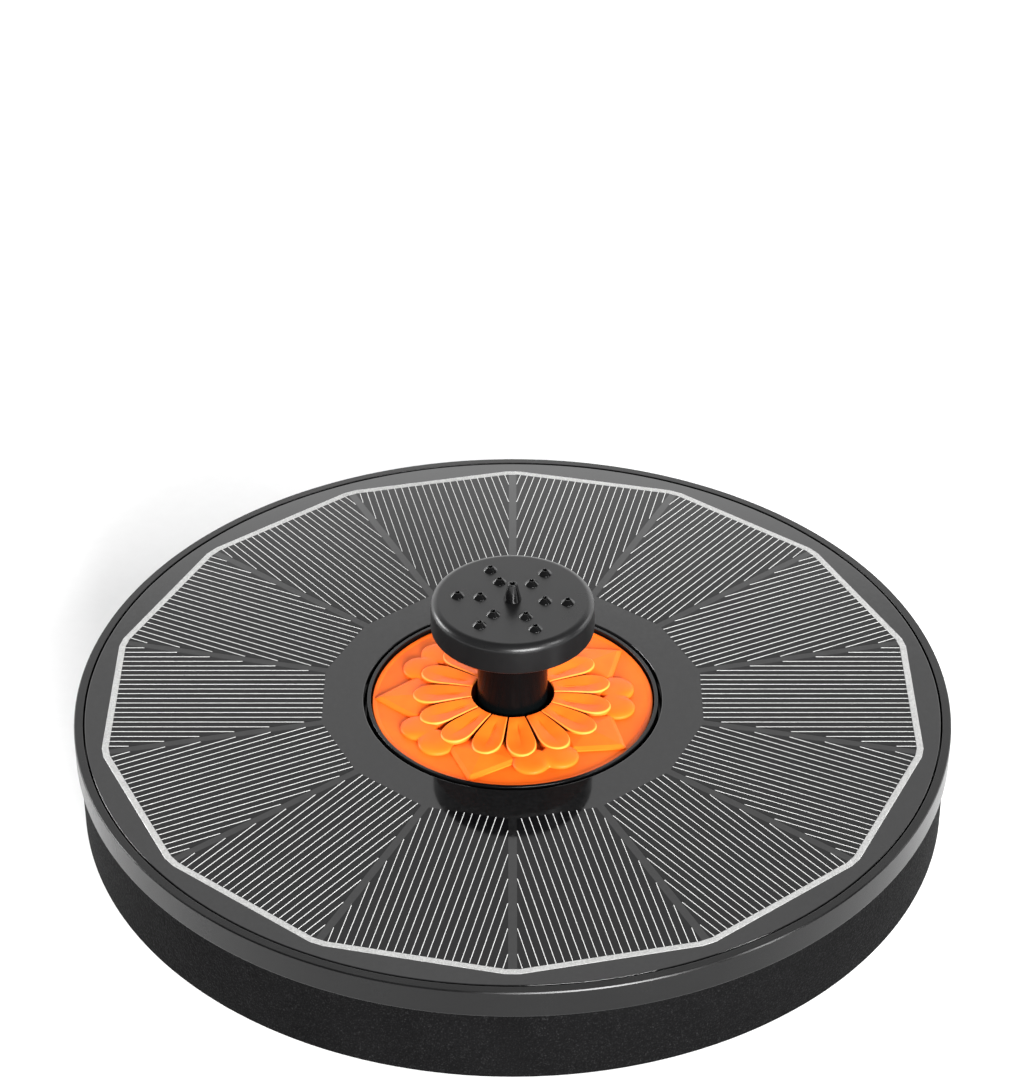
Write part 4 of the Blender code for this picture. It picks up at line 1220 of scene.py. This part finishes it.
@dataclass
class Intake(SubAssembly):
    """The slotted basket under the pump and the sponge in it."""

    wall: float = 2.0 * MM
    floor: float = 1.8 * MM
    wall_top: float = 10.3 * MM
    lip_outer: float = 30.9 * MM
    lip_inner: float = 29.3 * MM
    side_slots: int = 20
    floor_slots: int = 12

    def build(self) -> None:
        """Makes the basket and the sponge."""
        self.basket()
        self.sponge()

    def basket(self) -> None:
        """A turned basket with slots cut through its wall and its floor."""
        low, high = node_box("intake_basket")
        radius, lip_top = high[0], high[2]
        inside = radius - self.wall
        loop = rounded([
            (1.0 * MM, low[2], 0.0),
            (radius, low[2], 0.8 * MM),
            (radius, self.wall_top, 0.3 * MM),
            (self.lip_outer, self.wall_top, 0.2 * MM),
            (self.lip_outer, lip_top, 0.4 * MM),
            (self.lip_inner, lip_top, 0.2 * MM),
            (self.lip_inner, 9.4 * MM, 0.5 * MM),
            (inside, 8.0 * MM, 0.5 * MM),
            (inside, self.floor, 0.5 * MM),
            (1.0 * MM, self.floor, 0.0),
        ])
        profile = np.vstack([[0.0, low[2]], loop[1:-1], [0.0, self.floor]])
        basket = turned("basket", profile, 176, Ends.ON_AXIS)
        side = np.array([[inside - MM, -1.1 * MM], [radius + MM, -1.1 * MM], [radius + MM, 1.1 * MM],
                         [inside - MM, 1.1 * MM]])
        base = np.array([[11.0 * MM, -MM], [23.0 * MM, -MM], [23.0 * MM, MM], [11.0 * MM, MM]])
        cuts = [self.slots("side_cut", side, self.side_slots, 2.8 * MM, 7.2 * MM),
                self.slots("floor_cut", base, self.floor_slots, -MM, self.floor + 0.5 * MM)]
        carved(basket, cuts, 30.0)
        self.dress(basket, self.finishes.housing, "black_plastic", Body.INTAKE, "intake_basket")

    @staticmethod
    def slots(name: str, outline: np.ndarray, count: int, low: float, high: float) -> bpy.types.Object:
        """A ring of straight cutters: one outline turned to each of the count's middle angles."""
        parts = []
        for index in range(count):
            angle = 2.0 * math.pi * (index + 0.5) / count
            turn = np.array([[math.cos(angle), math.sin(angle)], [-math.sin(angle), math.cos(angle)]])
            parts.append(prism(f"{name}_{index}", outline @ turn, low, high))
        return joined(name, parts)

    def sponge(self) -> None:
        """A thick disc of open sponge with soft edges and a slightly uneven top.

        Its top rises and falls by a few tenths of a millimetre, as a sum of two waves.
        """
        low, high = node_box("filter_sponge")
        radius, bottom, top = high[0], low[2], high[2]
        loop = rounded([(1.0 * MM, bottom, 0.0), (radius, bottom, 0.9 * MM), (radius, top, 0.9 * MM),
                        (1.0 * MM, top, 0.0)], 6)
        inner = np.linspace(radius - 1.2 * MM, 1.0 * MM, 24)[1:-1]
        profile = np.vstack([[0.0, bottom], loop[1:-1], np.column_stack([inner, np.full(len(inner), top)]),
                             [0.0, top]])
        sponge = turned("sponge", profile, 128, Ends.ON_AXIS)
        points = read_points(sponge)
        wave = np.sin(points[:, 0] * 900.0) * np.sin(points[:, 1] * 760.0 + 1.0)
        points[:, 2] -= 0.12 * MM * (1.0 + wave) * (points[:, 2] > top - 0.1 * MM)
        write_points(sponge, points)
        self.dress(sponge, self.finishes.sponge, "filter_foam", Body.INTAKE, "filter_sponge")


@dataclass
class Pump(SubAssembly):
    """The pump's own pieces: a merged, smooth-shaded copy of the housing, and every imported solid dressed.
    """

    smooth: tuple[str, ...] = ("pump_housing",)

    def build(self) -> None:
        """Replaces what shows with a smooth copy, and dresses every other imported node."""
        for name in self.smooth:
            self.smooth_copy(name, Body.BASE)
        slots = {part["node"]: part["material_slot"] for part in frame["record"]["subparts"]}
        for name, node in frame["nodes"].items():
            node.data.materials.clear()
            node.data.materials.append(self.finishes.by_slot[slots[name]])
        LOG.info("dressed %d packed nodes", len(frame["nodes"]))

    def smooth_copy(self, node: str, body: Body) -> None:
        """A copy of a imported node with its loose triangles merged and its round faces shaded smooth."""
        mesh = frame["nodes"][node].data.copy()
        work = bmesh.new()
        work.from_mesh(mesh)
        bmesh.ops.remove_doubles(work, verts=work.verts, dist=0.002 * MM)
        bmesh.ops.dissolve_limit(work, angle_limit=math.radians(0.5), verts=work.verts, edges=work.edges)
        work.to_mesh(mesh)
        work.free()
        mesh.shade_smooth()
        mesh.set_sharp_from_angle(angle=math.radians(30.0))
        shell = linked(f"{node}_shell", mesh)
        self.dress(shell, self.finishes.housing, "housing_plastic", body, node)


# ---------------------------------------------------------------------------------------------
# Studio
# ---------------------------------------------------------------------------------------------


@dataclass(frozen=True)
class SoftBox:
    """One soft light: where it stands, how large it is and how strong."""

    name: str
    place: tuple[float, float, float]
    size: tuple[float, float]
    watts: float

    def hang(self, target: Vector) -> None:
        """Adds the light, facing a point."""
        data = bpy.data.lights.new(self.name, "AREA")
        data.shape = "RECTANGLE"
        data.size, data.size_y = self.size
        data.energy = self.watts
        obj = bpy.data.objects.new(self.name, data)
        obj.location = self.place
        obj.rotation_euler = (target - Vector(self.place)).to_track_quat("-Z", "Y").to_euler()
        bpy.context.scene.collection.objects.link(obj)


@dataclass
class Studio:
    """Pale floor, soft lights, a pale sky that brightens low behind the fountain, and the camera."""

    finishes: Finishes
    camera_back: float = 0.4675
    camera_up: float = 0.3546
    view_down: float = math.radians(34.388)
    focal_length: float = 106.51
    shift: float = 0.0045
    floor_size: float = 12.0
    sky_dim: float = 0.22
    sky_bright: float = 2.8

    def build(self) -> None:
        """Sets the whole studio up."""
        self.floor()
        self.sky()
        target = Vector((0.0, 0.0, float(node_box("top_housing")[1][2])))
        for box in (
            SoftBox("front_soft_box", (1.3, -3.9, 1.25), (2.2, 1.4), 640.0),
            SoftBox("right_strip", (1.9, -1.1, 1.2), (0.25, 1.4), 40.0),
            SoftBox("left_soft_box", (-2.4, 0.9, 0.6), (1.2, 0.8), 80.0),
            SoftBox("right_soft_box", (2.4, 0.9, 0.6), (1.2, 0.8), 18.0),
        ):
            box.hang(target)
        self.camera(target)

    def floor(self) -> None:
        """A large pale ground, level with the intake basket's foot."""
        half = self.floor_size / 2.0
        corners = np.array([[-half, -half], [half, -half], [half, half], [-half, half]])
        ground = prism("ground", corners, CAD_LOW[2] - 0.02, CAD_LOW[2] - 0.0001)
        ground.data.materials.append(self.finishes.ground)
        ground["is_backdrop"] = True

    @staticmethod
    def ramp(tree: bpy.types.NodeTree, source: bpy.types.NodeSocket, start: tuple[float, float],
             end: tuple[float, float], kind: str = "SMOOTHSTEP") -> bpy.types.NodeSocket:
        """A number that goes from one value to another as its source does.

        Args:
            tree: The node tree.
            source: The number that it follows.
            start: The source's first value, and the result there.
            end: The source's last value, and the result there.
            kind: How it goes between them.

        Returns:
            The result.
        """
        node = tree.nodes.new("ShaderNodeMapRange")
        node.interpolation_type = kind
        names = ("From Min", "To Min", "From Max", "To Max")
        for name, value in zip(names, start + end):
            node.inputs[name].default_value = value
        tree.links.new(source, node.inputs["Value"])
        return node.outputs[0]

    def sky(self) -> None:
        """A soft white sky, brighter low down behind the fountain, where the panel mirrors it."""
        world = bpy.data.worlds.new("soft_sky")
        bpy.context.scene.world = world
        world.use_nodes = True
        tree = world.node_tree
        split = tree.nodes.new("ShaderNodeSeparateXYZ")
        tree.links.new(tree.nodes.new("ShaderNodeTexCoord").outputs["Generated"], split.inputs[0])
        low_down = self.ramp(tree, split.outputs["Z"], (0.59, 0.38), (0.53, 1.0))
        behind = self.ramp(tree, split.outputs["Y"], (0.45, 0.0), (0.7, 1.0))
        both = tree.nodes.new("ShaderNodeMath")
        both.operation = "MULTIPLY"
        tree.links.new(low_down, both.inputs[0])
        tree.links.new(behind, both.inputs[1])
        strength = self.ramp(tree, both.outputs[0], (0.0, self.sky_dim), (1.0, self.sky_bright), "LINEAR")
        background = tree.nodes["Background"]
        tree.links.new(strength, background.inputs["Strength"])
        background.inputs["Color"].default_value = (1.0, 1.0, 1.0, 1.0)

    def camera(self, target: Vector) -> None:
        """A long lens looking down at the fountain from the front."""
        data = bpy.data.cameras.new("camera")
        data.lens = self.focal_length
        data.sensor_width = 36.0
        data.sensor_fit = "AUTO"
        data.shift_x = self.shift
        data.clip_start = 0.01
        camera = bpy.data.objects.new("camera", data)
        camera.location = (0.0, -self.camera_back, target.z + self.camera_up)
        camera.rotation_euler = (math.pi / 2.0 - self.view_down, 0.0, 0.0)
        bpy.context.scene.collection.objects.link(camera)
        bpy.context.scene.camera = camera
        bpy.context.scene.view_settings.view_transform = "Standard"


def main() -> None:
    """Builds the studio and every sub-assembly in order."""
    logging.basicConfig(level=logging.INFO, format="%(message)s")
    finishes = Finishes()
    Studio(finishes).build()
    for assembly in (Tray, Panel, Flower, Float, Riser, SprayHead, Intake, Pump):
        assembly(finishes).build()
        LOG.info("%s done", assembly.__name__)


if __name__ == "__main__":
    main()
